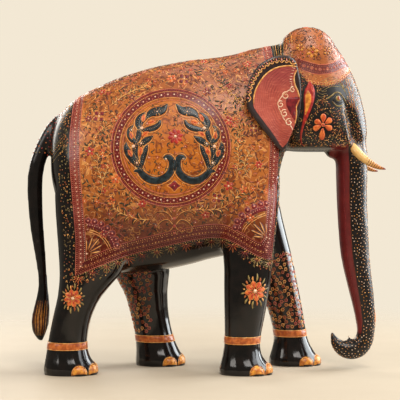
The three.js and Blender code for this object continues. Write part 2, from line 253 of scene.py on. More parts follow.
def united_skin():
    """The wooden body as one smooth closed mesh, in mm, with the tusks still on it to close their sockets."""
    points, triangles = joined(WOODEN + TUSKS, SWELL)
    mesh = remeshed(points, triangles, VOXEL)
    raw = points_of(mesh)
    level = broadness(raw)[:, None]
    fine = faired(mesh, raw, FINE_ROUNDS)
    medium = faired(mesh, raw, MEDIUM_ROUNDS)
    broad = faired(mesh, raw, BROAD_ROUNDS)
    shaped = fine + (medium - fine) * np.clip(level, 0, 1) + (broad - medium) * np.clip(level - 1, 0, 1)
    set_points(mesh, shaped)
    shaped -= (SWELL + PAINT_ROOM) * normals_of(mesh)
    shaped = carve_cheek_crease(shaped)
    shaped[:, 2] = np.where(raw[:, 2] < 1.5, 0, np.maximum(shaped[:, 2], 0))
    set_points(mesh, shaped)
    return mesh


# ---------------------------------------------------------------- painted zones of the skin

# Outer edge of the saddle cloth, from the rump down and forwards to the neck: x, z.
CLOTH_REAR = [(-142, 400), (-142.5, 291), (-144, 255), (-143, 220), (-139.5, 180), (-136, 143),
              (-136.5, 105.5)]
CLOTH_LOWER = [(-101, 119.7), (-77.6, 127.8), (-33.4, 138.6), (-6, 144), (16, 145.5), (29.8, 141.3),
               (55.5, 126.6)]
CLOTH_FRONT = [(71, 122), (73.7, 145.5), (77, 185.6), (79.4, 241), (78, 300), (74, 338), (68, 400)]
REAR_BORDER, LOWER_BORDER, FRONT_BORDER = 11, 14.5, 10

# The medallion on each side: centre x, z, and its radii from the outer line inwards.
MEDALLION = (-35.9, 241.6)
MEDALLION_LINES = (63, 60, 53.5, 50.5)

# Lower edge of the gilt cap on the head, from the ear forwards: x, z.
CAP_EDGE = [(60, 322), (104, 322), (112, 311), (122, 309.5), (133, 309), (146, 314), (158, 324),
            (166, 336), (190, 350)]


# The two lines of the band round the cap, with the dome above and a scalloped hem below: x, z.
CAP_LINES = [
    [(98.5, 340), (103.5, 336.5), (112.5, 334), (122.5, 331.5), (130.5, 332), (138, 334), (144, 337.5),
     (152, 341), (175, 343)],
    [(100.5, 329), (106, 325), (115, 322), (123, 321), (132, 322), (140.5, 324.5), (146.5, 327.5),
     (153, 331), (175, 333)],
]


def signed_distance(points, outline):
    """Distance in mm from points to a closed outline, both x and z, positive inside."""
    start = np.array(outline, float)
    end = np.roll(start, -1, axis=0)
    best = np.full(len(points), 1e9)
    inside = np.zeros(len(points), bool)
    for a, b in zip(start, end):
        along = b - a
        t = np.clip(((points - a) @ along) / max(along @ along, 1e-9), 0, 1)
        best = np.minimum(best, np.linalg.norm(points - a - t[:, None] * along, axis=1))
        crosses = (a[1] > points[:, 1]) != (b[1] > points[:, 1])
        if b[1] != a[1]:
            at = a[0] + (points[:, 1] - a[1]) * along[0] / along[1]
            inside ^= crosses & (points[:, 0] < at)
    return np.where(inside, best, -best)


def cloth_runs(share):
    """The cloth's rear, lower and front runs, moved in by a share of its border's width."""
    rise = (LOWER_BORDER + 4) * share
    rear_corner = (CLOTH_REAR[-1][0] + (REAR_BORDER + 1) * share, CLOTH_REAR[-1][1] + rise)
    front_corner = (CLOTH_FRONT[0][0] - (FRONT_BORDER + 2) * share, CLOTH_FRONT[0][1] + rise)
    rear = [(x + REAR_BORDER * share, z) for x, z in CLOTH_REAR[:-1]]
    front = [(x - FRONT_BORDER * share, z) for x, z in CLOTH_FRONT[1:]]
    lower = [(x, z + LOWER_BORDER * share) for x, z in CLOTH_LOWER]
    return [*rear, rear_corner], [rear_corner, *lower, front_corner], [front_corner, *front]


def cloth_outline(share=0):
    """The cloth's outline, or at share 1 the inner edge of its border."""
    rear, lower, front = cloth_runs(share)
    return [tuple(p) for run in (rear, curve(lower, 7)[1:-1], front) for p in run]


# The middle line of the trunk, seen from the side, from its tip upwards.
TRUNK_LINE_Z = (24, 40, 53, 74, 98, 127, 158, 186, 224, 262)
TRUNK_LINE_X = (171, 177, 178, 175.3, 171, 166.3, 164.3, 162.8, 162.5, 160)


def trunk_offset(p):
    """How far each point lies behind (+) or ahead (-) of the middle line of the trunk."""
    return np.interp(p[:, 2], TRUNK_LINE_Z, TRUNK_LINE_X) - p[:, 0]


def paint_zones(mesh):
    """Stores what the body's material reads at each vertex, and returns it too."""
    p = points_of(mesh)
    side_view = p[:, [0, 2]]
    normals = normals_of(mesh)
    outward = normals[:, 1] * np.sign(p[:, 1])
    cap = CAP_EDGE + [(190, 420), (60, 420)]
    zones = {
        "cloth": signed_distance(side_view, cloth_outline()),
        "field": signed_distance(side_view, cloth_outline(1)),
        "cap": signed_distance(side_view, cap),
        "cap_band": signed_distance(side_view, CAP_LINES[0] + CAP_LINES[1][::-1]),
        "behind_trunk": trunk_offset(p),
    }
    # the cloth stays off the chest and off the faces that the legs turn to each other
    allowed = np.minimum((outward + 0.05) * 25, np.abs(p[:, 1]) - 24)
    allowed = np.where(p[:, 2] < 190, allowed, 99.0)
    for name in ("cloth", "field"):
        zones[name] = np.minimum(zones[name], allowed)
    for name, values in zones.items():
        store_values(mesh, name, values)
    layer = mesh.attributes.new("skin_normal", "FLOAT_VECTOR", "POINT")
    layer.data.foreach_set("vector", normals.ravel())
    return zones


# ---------------------------------------------------------------- cutting the skin back into its blocks

def tree_of(node):
    points, triangles = cad_arrays(node)
    return BVHTree.FromPolygons([tuple(p) for p in points], [tuple(t) for t in triangles])


def nearest_node(point, trees):
    return min(trees, key=lambda name: trees[name].find_nearest(point)[3])


def glue_planes():
    """Each glue face: its point, its normal, and a test for the stretch of skin that it cuts."""
    return [
        ((NECK_X, 0, 0), (1, 0, 0), lambda c: abs(c.x - NECK_X) < 5 and c.z > TRUNK_Z - 4),
        ((0, 0, TRUNK_Z), (0, 0, 1), lambda c: abs(c.z - TRUNK_Z) < 5 and c.x > NECK_X - 4),
        ((0, 0, HIND_Z), (0, 0, 1), lambda c: abs(c.z - HIND_Z) < 5 and -168 < c.x < SHOULDER_X),
        ((0, 0, FRONT_Z), (0, 0, 1), lambda c: abs(c.z - FRONT_Z) < 5 and SHOULDER_X < c.x < 138),
    ]


def block_at(c, rear_trees, front_trees):
    """The CAD node that a point of the skin belongs to."""
    if c.x > 138 and 205 < c.z < 268:
        owner = nearest_node(c, front_trees)
        if owner in TUSKS:
            return owner
    if c.z > TRUNK_Z and c.x > NECK_X:
        return "head"
    if c.x > 138:
        return "trunk"
    if c.x < -148 and abs(c.y) < 18 and nearest_node(c, rear_trees) == "tail":
        return "tail"
    side = "right" if c.y < 0 else "left"
    if c.x < SHOULDER_X and c.z < HIND_Z:
        return "leg_hind_" + side
    if c.x > SHOULDER_X and c.z < FRONT_Z:
        return "leg_front_" + side
    return "torso"


def cut_into_blocks(mesh):
    """The skin as one closed mesh for each wooden block."""
    bm = bmesh.new()
    bm.from_mesh(mesh)
    for point, normal, near in glue_planes():
        faces = [f for f in bm.faces if near(f.calc_center_median() / MM)]
        edges = {e for f in faces for e in f.edges}
        corners = {v for f in faces for v in f.verts}
        bmesh.ops.bisect_plane(bm, geom=[*corners, *edges, *faces], dist=1e-7,
                               plane_co=Vector(point) * MM, plane_no=normal)
    rear_trees = {name: tree_of(name) for name in ("tail", "torso", "leg_hind_right")}
    front_trees = {name: tree_of(name) for name in ("head", "trunk", *TUSKS)}
    owner = [block_at(f.calc_center_median() / MM, rear_trees, front_trees) for f in bm.faces]
    layer = bm.faces.layers.int.new("block")
    for face, name in zip(bm.faces, owner):
        face[layer] = WOODEN.index(name) if name in WOODEN else -1
    blocks = {}
    for number, name in enumerate(WOODEN):
        part = bm.copy()
        own = part.faces.layers.int["block"]
        others = [f for f in part.faces if f[own] != number]
        bmesh.ops.delete(part, geom=others, context="FACES")
        rims = [e for e in part.edges if e.is_boundary]
        caps = bmesh.ops.holes_fill(part, edges=rims, sides=0)["faces"]
        bmesh.ops.triangulate(part, faces=caps)
        block = bpy.data.meshes.new(name + "_painted")
        part.to_mesh(block)
        part.free()
        blocks[name] = block
    bm.free()
    return blocks


def use_skin_normals(mesh):
    """Shades a block by the united skin's normals, so that no glue face shows."""
    mesh.polygons.foreach_set("use_smooth", [True] * len(mesh.polygons))
    flat = np.empty(len(mesh.vertices) * 3, np.float32)
    mesh.attributes["skin_normal"].data.foreach_get("vector", flat)
    normals = flat.reshape(-1, 3)
    normals /= np.maximum(np.linalg.norm(normals, axis=1, keepdims=True), 1e-9)
    mesh.attributes.remove(mesh.attributes["skin_normal"])
    mesh.normals_split_custom_set_from_vertices([tuple(n) for n in normals])


def place(mesh, stands_for=()):
    """Puts a finished mesh into the scene as a piece that rides on the body."""
    piece = bpy.data.objects.new(mesh.name, mesh)
    bpy.context.scene.collection.objects.link(piece)
    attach(piece, BODY)
    if stands_for:
        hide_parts(*stands_for)
    return piece


# ---------------------------------------------------------------- materials

def rgb(red, green, blue):
    """A colour given as 0 to 255 on screen, as the linear colour that shaders use."""
    def linear(c):
        c /= 255
        return c / 12.92 if c <= 0.04045 else ((c + 0.055) / 1.055) ** 2.4
    return (linear(red), linear(green), linear(blue), 1)


class Graph:
    """A material's node tree, written as nested calls."""

    def __init__(self, name):
        self.material = bpy.data.materials.new(name)
        self.material.use_nodes = True
        self.tree = self.material.node_tree
        self.tree.nodes.clear()
        place_node = self.tree.nodes.new("ShaderNodeTexCoord")
        self.position = self.node("ShaderNodeVectorMath", {0: place_node.outputs["Object"], 3: 1 / MM},
                                  operation="SCALE").outputs[0]

    def node(self, kind, inputs, **settings):
        node = self.tree.nodes.new(kind)
        for key, value in settings.items():
            setattr(node, key, value)
        for key, value in inputs.items():
            if isinstance(value, bpy.types.NodeSocket):
                self.tree.links.new(value, node.inputs[key])
            else:
                node.inputs[key].default_value = value
        return node

    def attribute(self, name):
        return self.node("ShaderNodeAttribute", {}, attribute_name=name).outputs["Fac"]

    def axes(self):
        return self.node("ShaderNodeSeparateXYZ", {0: self.position}).outputs

    def math(self, operation, a, b=0.0, c=0.0):
        return self.node("ShaderNodeMath", {0: a, 1: b, 2: c}, operation=operation).outputs[0]

    def rise(self, value, start, end):
        """0 before start and 1 after end; start may be the larger."""
        inputs = {"Value": value, "From Min": start, "From Max": end}
        node = self.node("ShaderNodeMapRange", inputs, interpolation_type="SMOOTHSTEP")
        return node.outputs["Result"]

    def band(self, value, start, end, soft):
        """1 between start and end."""
        up = self.rise(value, start - soft, start + soft)
        down = self.rise(value, end + soft, end - soft)
        return self.math("MULTIPLY", up, down)

    def mix(self, share, a, b):
        node = self.tree.nodes.new("ShaderNodeMix")
        node.data_type = "RGBA"
        for socket, value in ((node.inputs[0], share), (node.inputs[6], a), (node.inputs[7], b)):
            if isinstance(value, bpy.types.NodeSocket):
                self.tree.links.new(value, socket)
            else:
                socket.default_value = value
        return node.outputs[2]

    def noise(self, size, detail=2, distortion=0.0, offset=0.0):
        """Smooth noise from 0 to 1 whose features are about `size` mm."""
        at = self.position
        if offset:
            at = self.node("ShaderNodeVectorMath", {0: at, 1: (offset,) * 3}, operation="ADD").outputs[0]
        inputs = {"Vector": at, "Scale": 1 / size, "Detail": detail, "Distortion": distortion}
        return self.node("ShaderNodeTexNoise", inputs).outputs[0]

    def contours(self, size, lines, width, offset=0.0):
        """Curly hairlines: the level curves of noise, 1 on a line."""
        level = self.math("FRACT", self.math("MULTIPLY", self.noise(size, 1.5, 0.6, offset), lines))
        away = self.math("ABSOLUTE", self.math("SUBTRACT", level, 0.5))
        return self.rise(away, width, width * 0.4)

    def bump(self, height, distance, strength=0.6, under=None):
        inputs = {"Height": height, "Distance": distance * MM, "Strength": strength}
        if under is not None:
            inputs["Normal"] = under
        return self.node("ShaderNodeBump", inputs).outputs[0]

    def finish(self, colour, roughness, normal, coat=0.12, coat_roughness=0.05):
        shader = self.node("ShaderNodeBsdfPrincipled", {"Base Color": colour, "Roughness": roughness})
        shader.inputs["Specular IOR Level"].default_value = 0.34
        shader.inputs["Coat Weight"].default_value = coat
        shader.inputs["Coat Roughness"].default_value = coat_roughness
        self.tree.links.new(normal, shader.inputs["Normal"])
        output = self.tree.nodes.new("ShaderNodeOutputMaterial")
        self.tree.links.new(shader.outputs[0], output.inputs[0])
        return self.material


BLACK = rgb(13, 11, 10)
GOLD = rgb(198, 122, 56)
DEEP_GOLD = rgb(158, 80, 36)
OXBLOOD = rgb(84, 22, 24)


def body_material():
    """Lacquered paint of the whole body: black ground, saddle cloth, medallion, cap and trunk stripe; the
    cloth darkens towards its lower edge, partly its own deeper paint and partly painted shade.
    """
    g = Graph("painted_body")
    x, _, z = g.axes()
    # black lacquer, a little browner where the brush was dry
    colour = g.mix(g.rise(g.noise(9, 4), 0.35, 0.7), BLACK, rgb(24, 18, 16))
    # saddle cloth
    cloth = g.attribute("cloth")
    field = g.attribute("field")
    on_cloth = g.rise(cloth, -0.3, 0.3)
    on_field = g.rise(field, -0.3, 0.3)
    blotch = g.noise(22, 3)
    gold = g.mix(blotch, DEEP_GOLD, GOLD)
    # painted shade: the cloth's gold darkens and its light lines thin out towards the lower edge, partly the
    # cloth's own deeper paint and partly painted shade under the belly
    lower = g.rise(z, 212, 140)
    gold = g.mix(g.math("MULTIPLY", lower, 0.96), gold, rgb(76, 10, 1))
    gold = g.mix(g.math("MULTIPLY", g.rise(z, 275, 322), 0.65), gold, rgb(130, 62, 34))
    lines = g.contours(15, 5, 0.15)
    gold = g.mix(g.math("MULTIPLY", lines, 0.75), gold, rgb(104, 44, 24))
    light_lines = g.contours(13, 5, 0.1, 50)
    lines_share = g.math("MULTIPLY", light_lines, g.math("MULTIPLY_ADD", lower, -0.35, 0.6))
    gold = g.mix(lines_share, gold, rgb(234, 166, 92))
    border = g.mix(g.noise(6, 3), OXBLOOD, rgb(126, 40, 32))
    # painted shade: the border darkens towards its lower edge too, partly its own deeper paint and partly
    # painted shade
    border = g.mix(g.math("MULTIPLY", g.rise(z, 185, 130), 0.8), border, rgb(66, 9, 9))
    cloth_colour = g.mix(on_field, border, gold)
    # medallion
    across = g.math("SUBTRACT", x, MEDALLION[0])
    up = g.math("SUBTRACT", z, MEDALLION[1])
    squared = g.math("ADD", g.math("MULTIPLY", across, across), g.math("MULTIPLY", up, up))
    radius = g.math("SQRT", squared)
    inside = g.rise(radius, MEDALLION_LINES[0] + 0.4, MEDALLION_LINES[0] - 0.4)
    ring = g.rise(radius, MEDALLION_LINES[2] - 0.4, MEDALLION_LINES[2] + 0.4)
    heart = g.mix(g.noise(16, 3, 0.3), rgb(160, 76, 22), rgb(208, 124, 40))
    heart = g.mix(g.math("MULTIPLY", lines, 0.75), heart, rgb(104, 40, 18))
    cloth_colour = g.mix(inside, cloth_colour, g.mix(ring, heart, border))
    colour = g.mix(on_cloth, colour, cloth_colour)
    # gilt cap on the head
    cap = g.rise(g.attribute("cap"), -0.4, 0.4)
    cap_colour = g.mix(g.noise(14, 3), rgb(146, 76, 42), rgb(196, 116, 56))
    cap_colour = g.mix(g.math("MULTIPLY", g.contours(8, 7, 0.14, 20), 0.6), cap_colour, rgb(92, 40, 30))
    cap_band = g.rise(g.attribute("cap_band"), -0.3, 0.3)
    cap_colour = g.mix(cap_band, cap_colour, g.mix(g.noise(5, 3), rgb(84, 30, 28), rgb(124, 56, 44)))
    ahead = g.rise(x, NECK_X + 2, NECK_X + 3)
    colour = g.mix(g.math("MULTIPLY", cap, ahead), colour, cap_colour)
    # maroon stripe down the back of the trunk
    behind = g.attribute("behind_trunk")
    trunk_only = g.math("MULTIPLY", g.rise(x, 136, 138), g.band(z, 40, 246, 2))
    stripe = g.math("MULTIPLY", g.rise(behind, 4.2, 5.2), trunk_only)
    colour = g.mix(stripe, colour, g.mix(g.noise(12, 3), rgb(74, 18, 22), rgb(122, 38, 36)))
    lacquer = g.math("MULTIPLY_ADD", g.noise(7, 3), 0.1, 0.08)
    soft = g.math("MAXIMUM", g.rise(z, 215, 255), g.rise(x, 132, 140))
    rough = g.math("ADD", lacquer, g.math("MULTIPLY", soft, 0.2))
    rough = g.math("MAXIMUM", rough, g.math("MULTIPLY", on_cloth, 0.24))
    normal = g.bump(g.math("MULTIPLY", light_lines, on_cloth), 0.3, 0.6, g.bump(g.noise(3, 2), 0.05, 0.35))
    return g.finish(colour, rough, normal)


def wood_material():
    """Bare close-grained hardwood, for the dowels inside the joints."""
    g = Graph("bare_wood")
    along = g.node("ShaderNodeVectorMath", {0: g.position, 1: (0.5, 0.5, 0.08)}, operation="MULTIPLY")
    along = along.outputs[0]
    grain = g.node("ShaderNodeTexNoise", {"Vector": along, "Scale": 1.0, "Detail": 4}).outputs[0]
    colour = g.mix(g.rise(grain, 0.35, 0.65), rgb(206, 168, 112), rgb(176, 130, 78))
    return g.finish(colour, g.math("MULTIPLY_ADD", grain, 0.2, 0.5), g.bump(grain, 0.1, 0.3))


def cover_dowels(look):
    """Gives the carried-over dowels the bare wood."""
    for name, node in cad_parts.items():
        if "dowel" in name:
            for slot in node.material_slots:
                slot.material = look
# ---------------------------------------------------------------- raised paint: grounds and canvases

SUNK = 0.12  # how far the edge of raised paint reaches into its ground
ROOT = 0.45  # how far its underside does


class Ground:
    """A surface to paint on, in mm."""

    def __init__(self, mesh):
        self.points = points_of(mesh)
        self.normals = normals_of(mesh).astype(float)
        faces = [tuple(f.vertices) for f in mesh.polygons]
        self.tree = BVHTree.FromPolygons(self.points.tolist(), faces)

    def near(self, point):
        hit = self.tree.find_nearest(point)
        return hit[0], hit[1]

    def along(self, start, direction):
        """Where a ray first meets the surface, or its nearest point."""
        hit = self.tree.ray_cast(start, direction)
        return (hit[0], hit[1]) if hit[0] is not None else self.near(start + direction * 200)


def side_canvas(ground, side):
    """Draws in x and z, as seen square from one side."""
    inward = Vector((0, -side, 0))

    def spot_at(a, b):
        spot = ground.along(Vector((a, side * 200, b)), inward)
        return spot if spot[0].y * side > -1 else ground.near(Vector((a, side * 45, b)))
    return spot_at


def spot_canvas(ground, point, normal, turn):
    """Draws round one point of the surface, in mm along two tangents turned by `turn`."""
    normal = Vector(normal).normalized()
    level = Vector((1, 0, 0)) if abs(normal.x) < 0.8 else Vector((0, 0, 1))
    u = (level - normal * level.dot(normal)).normalized()
    v = normal.cross(u)
    right = u * math.cos(turn) + v * math.sin(turn)
    up = normal.cross(right)
    origin = Vector(point)
    return lambda a, b: ground.near(origin + right * a + up * b)


# ---------------------------------------------------------------- raised paint: marks

class Paint:
    """All the raised paint of one colour in one region."""

    def __init__(self, name, look, slot):
        self.name, self.look, self.slot = name, look, slot
        self.corners, self.faces = [], []

    def add(self, corners, faces):
        start = len(self.corners)
        self.corners += corners
        self.faces += [tuple(start + i for i in face) for face in faces]

    def lay(self):
        if not self.faces:
            return
        mesh = mesh_of(self.name, np.array([tuple(c) for c in self.corners]), self.faces)
        mesh.polygons.foreach_set("use_smooth", [True] * len(mesh.polygons))
        mesh.materials.append(self.look)
        place(mesh)


def curve(points, step=1.4, closed=False):
    """Points on a smooth curve through the given ones, about `step` mm apart; further columns follow."""
    rows = np.array(points, float)
    count = len(rows)
    line = []
    for i in range(count if closed else count - 1):
        a, b = rows[i], rows[(i + 1) % count]
        before = rows[(i - 1) % count] if closed or i > 0 else a
        after = rows[(i + 2) % count] if closed or i + 2 < count else b
        pieces = max(1, round(float(np.linalg.norm((b - a)[:2])) / step))
        for k in range(pieces):
            t = k / pieces
            line.append(a + 0.5 * t * ((b - before) + t * ((2 * before - 5 * a + 4 * b - after)
                        + t * (3 * (a - b) + after - before))))
    if not closed:
        line.append(rows[-1])
    return line


SHAPES = {
    "line": lambda t: min(1, 0.3 + 7 * t, 0.3 + 7 * (1 - t)),
    "even": lambda t: 1.0,
    "leaf": lambda t: 0.12 + 0.88 * math.sin(math.pi * t) ** 0.85,
    "petal": lambda t: 0.2 + 0.8 * math.sin(math.pi * min(1, t ** 1.5)) ** 0.75,
    "comma": lambda t: 1.0 - 0.85 * t,
    "given": lambda t: 1.0,
}


def sleeve(rings, around, closed):
    """Faces of a skin over rings of equally many corners."""
    faces = []
    for r in range(rings if closed else rings - 1):
        for k in range(around):
            a = r * around + k
            b = r * around + (k + 1) % around
            a_next = ((r + 1) % rings) * around + k
            b_next = ((r + 1) % rings) * around + (k + 1) % around
            faces.append((a, b, b_next, a_next))
    if not closed:
        faces.append(tuple(reversed(range(around))))
        faces.append(tuple(range((rings - 1) * around, rings * around)))
    return faces


WIDE = 2.6  # strokes wider than this may bend over their ground


class Brush:
    """Lays raised paint in one region's colours, over one ground and in one canvas's measures."""

    def __init__(self, region, ground, canvas=None):
        self.region, self.ground, self.canvas = region, ground, canvas

    def at(self, spot, turn=0):
        """The same brush on a canvas round one spot."""
        return Brush(self.region, self.ground, spot_canvas(self.ground, *spot, turn))

    def turned(self, spot, rng):
        return self.at(spot, rng.uniform(0, 2 * math.pi))

    def spots(self, path, step=1.4):
        """The spots (point, normal) along a smooth path."""
        return [self.canvas(row[0], row[1]) for row in curve(path, step)]

    def ribbon(self, colour, spots, widths, height, closed=False, bend=False):
        """A low ridge of paint along spots; one that bends follows its ground across its width too."""
        count = len(spots)
        columns = (1, 0.55, 0, -0.55, -1) if bend else (1, 0, -1)
        corners = []
        for i, ((point, normal), width) in enumerate(zip(spots, widths)):
            ahead = spots[(i + 1) % count if closed else min(i + 1, count - 1)][0]
            behind = spots[(i - 1) % count if closed else max(i - 1, 0)][0]
            across = normal.cross(ahead - behind).normalized()
            crest = height * min(1, 0.35 + width * 0.6)
            for column in columns:
                rise = -SUNK if abs(column) == 1 else crest * (1 - 0.5 * column * column)
                at, up = point + across * (column * width / 2), normal
                if bend and column != 0:
                    at, up = self.ground.near(at)
                corners.append(at + up * rise)
            corners.append(point - normal * ROOT)
        pot(self.region, colour).add(corners, sleeve(count, len(columns) + 1, closed))

    def stroke(self, colour, path, width=1.0, shape="line", height=0.3, step=1.4, closed=False, bend=False):
        """A stroke along a smooth path; a third column gives its width. It stops where its ground ends."""
        line = curve(path, step, closed)
        last = max(len(line) - (0 if closed else 1), 1)
        spots = [self.canvas(row[0], row[1]) for row in line]
        taper = SHAPES[shape]
        widths = [(row[2] if len(row) > 2 else width) * taper(i / last) for i, row in enumerate(line)]
        leap = 4 * step + 4
        ends = [i for i in range(1, len(spots)) if (spots[i][0] - spots[i - 1][0]).length > leap]
        if ends and (closed or ends[0] < 2):
            return
        if ends:
            spots, widths = spots[:ends[0]], widths[:ends[0]]
        self.ribbon(colour, spots, widths, height, closed, bend and max(widths) > WIDE)

    def bead(self, colour, spot, radius, height=None, sides=7):
        """A round dot of thick paint."""
        point, normal = spot
        height = radius * 0.75 if height is None else height
        u = normal.orthogonal().normalized()
        v = normal.cross(u)
        corners = []
        for reach, rise in ((1, -SUNK), (0.78, height * 0.7)):
            for k in range(sides):
                angle = -2 * math.pi * k / sides
                offset = u * math.cos(angle) + v * math.sin(angle)
                corners.append(point + offset * (radius * reach) + normal * rise)
        corners.append(point + normal * height)
        faces = [(k, k + sides, (k + 1) % sides + sides, (k + 1) % sides) for k in range(sides)]
        faces += [(k + sides, 2 * sides, (k + 1) % sides + sides) for k in range(sides)]
        faces.append(tuple(range(sides)))
        pot(self.region, colour).add(corners, faces)

    def dot(self, colour, a, b, radius, height=None):
        self.bead(colour, self.canvas(a, b), radius, height)

    def hoop(self, colour, spot, radius, width=0.55, height=0.3):
        """A small ring of paint."""
        self.at(spot).stroke(colour, ring_of(radius, 6), width, "even", height, radius * 0.8, closed=True)

    def patch(self, colour, outline, height=0.3, grain=2.0):
        """A filled shape inside an outline that is already smooth."""
        edge = [tuple(p[:2]) for p in outline]
        count = len(edge)
        (left, bottom), (right, top) = np.min(edge, axis=0), np.max(edge, axis=0)
        grid = np.meshgrid(np.arange(left, right, grain), np.arange(bottom, top, grain))
        grid = np.stack(grid, -1).reshape(-1, 2)
        if len(grid):
            grid = grid[signed_distance(grid, edge) > grain * 0.45]
        flat = [Vector(p) for p in [*edge, *grid]]
        made = delaunay_2d_cdt(flat, [(k, (k + 1) % count) for k in range(count)], [], 1, 1e-4)
        faces = [tuple(f) for f in made[2]]
        origin = [list(o)[0] if len(o) else count for o in made[3]]
        spots = [self.canvas(p.x, p.y) for p in made[0]]
        upper = [p + n * (-SUNK if source < count else height) for (p, n), source in zip(spots, origin)]
        under = [p - n * ROOT for p, n in spots]
        a, b, c = (spots[i][0] for i in faces[0][:3])
        if (b - a).cross(c - a).dot(spots[faces[0][0]][1]) < 0:
            faces = [tuple(reversed(f)) for f in faces]
        directed = {(f[k], f[(k + 1) % len(f)]) for f in faces for k in range(len(f))}
        n = len(upper)
        walls = [(b, a, a + n, b + n) for a, b in sorted(e for e in directed if e[::-1] not in directed)]
        faces += [tuple(i + n for i in reversed(f)) for f in faces]
        pot(self.region, colour).add(upper + under, faces + walls)

    def flower(self, petal, heart, centre=(0, 0), radius=5.0, petals=6, turn=0.0, width=0.75, edge=None,
               bend=False):
        """Petals round a dot; each petal has an outline on its tip when an edge colour is given."""
        for k in range(petals):
            angle = turn + 2 * math.pi * k / petals
            path = [polar(centre, angle, radius * r) for r in (0.22, 0.6, 1.0)]
            self.stroke(petal, path, radius * width, "petal", 0.34, radius / 4.5, bend=bend)
            if edge is not None:
                half = radius * width * 0.42
                bow = [(0.45, half), (0.8, half * 0.95), (1.03, 0), (0.8, -half * 0.95), (0.45, -half)]
                points = [polar(centre, angle, radius * r, w) for r, w in bow]
                self.stroke(edge, points, max(0.5, radius * 0.08), "line", 0.42, radius / 4)
        self.dot(heart, *centre, radius * 0.2)

    def twig(self, stem, leaf, length, leaves, rng, bend=0.25, size=4.0):
        """A curved stem with leaves on alternate sides."""
        self.stroke(stem, [(-length / 2, 0), (0, length * bend), (length / 2, 0)], 0.8, "line", 0.3, 1.6)
        for k in range(leaves):
            t = (k + 0.7) / leaves
            a = -length / 2 + length * t
            b = length * bend * (1 - (2 * t - 1) ** 2)
            side = 1 if k % 2 else -1
            lean = side * rng.uniform(0.7, 1.25)
            reach = size * rng.uniform(0.75, 1.1)
            tip = polar((a, b), lean, reach)
            middle = polar((a + 0.3, b + 0.25 * side), lean, reach * 0.5)
            self.stroke(leaf, [(a, b), middle, tip], reach * 0.42, "leaf", 0.36, reach / 4)
            if k % 2:
                self.stroke(stem, [(a, b), tip], 0.5, "leaf", 0.5, reach / 2)

    def fan(self, colour, centre, radius, petals, aim, spread, width=0.26):
        """Narrow petals that open from one point."""
        for k in range(petals):
            share = k / (petals - 1)
            reach = radius * (1 - 0.22 * abs(2 * share - 1))
            path = [polar(centre, aim + spread * (share - 0.5), reach * r) for r in (0.2, 0.6, 1.0)]
            self.stroke(colour, path, radius * width, "petal", 0.3, radius / 4)


def along_spots(spots, gap):
    """Spots `gap` mm apart along a line of spots."""
    chosen, travelled = [spots[0]], 0.0
    for (a, na), (b, nb) in zip(spots, spots[1:]):
        length = (b - a).length
        while travelled + length >= gap:
            t = (gap - travelled) / length
            a, na = a.lerp(b, t), na.lerp(nb, t).normalized()
            chosen.append((a, na))
            length = (b - a).length
            travelled = 0.0
        travelled += length
    return chosen


def scatter(points, gap, seed):
    """Indices of points at least `gap` mm apart, spread evenly and the same on each run."""
    taken, cells = [], {}
    for i in np.random.default_rng(seed).permutation(len(points)):
        p = points[i]
        cell = tuple(int(c // gap) for c in p)
        nearby = (cells.get((cell[0] + dx, cell[1] + dy, cell[2] + dz), ())
                  for dx in (-1, 0, 1) for dy in (-1, 0, 1) for dz in (-1, 0, 1))
        if all((p[0] - q[0]) ** 2 + (p[1] - q[1]) ** 2 + (p[2] - q[2]) ** 2 >= gap * gap
               for group in nearby for q in group):
            cells.setdefault(cell, []).append(p)
            taken.append(i)
    return taken


# ---------------------------------------------------------------- raised paint: motifs

def polar(centre, angle, reach, across=0.0):
    """The point at a distance and an angle from a centre, and moved sideways by `across`."""
    c, s = math.cos(angle), math.sin(angle)
    return (centre[0] + c * reach - s * across, centre[1] + s * reach + c * across)


def ring_of(radius, count, start=0.0, centre=(0, 0)):
    return [polar(centre, start + 2 * math.pi * k / count, radius) for k in range(count)]


def curl(centre, radius, start, turns, inner=0.25):
    """A spiral from its outer end inwards; a negative number of turns winds clockwise."""
    count = max(5, int(abs(turns) * 9))
    points = []
    for k in range(count):
        t = k / (count - 1)
        points.append(polar(centre, start + 2 * math.pi * turns * t, radius * (1 - t * (1 - inner))))
    return points


# ---------------------------------------------------------------- pots of paint

# Each paint's light and dark shade.
SHADES = {
    "gilt": (rgb(240, 180, 102), rgb(206, 128, 60)),
    "cream": (rgb(244, 214, 184), rgb(226, 172, 134)),
    "rose": (rgb(214, 122, 92), rgb(178, 80, 62)),
    "leaf": (rgb(52, 54, 26), rgb(20, 28, 18)),
    "olive": (rgb(158, 136, 78), rgb(112, 86, 44)),
    "scarlet": (rgb(190, 54, 38), rgb(142, 32, 30)),
    "orange": (rgb(224, 122, 56), rgb(190, 74, 34)),
    "copper": (rgb(196, 108, 48), rgb(148, 68, 28)),
    "maroon": (rgb(134, 34, 38), rgb(92, 22, 28)),
    "amber": (rgb(226, 152, 58), rgb(172, 96, 34)),
    "umber": (rgb(104, 48, 26), rgb(66, 26, 17)),
    "teal": (rgb(40, 52, 56), rgb(18, 24, 26)),
    "steel": (rgb(104, 118, 128), rgb(62, 72, 78)),
    "soot": (rgb(30, 24, 22), rgb(18, 15, 14)),
}
ENAMELS, POTS = {}, {}


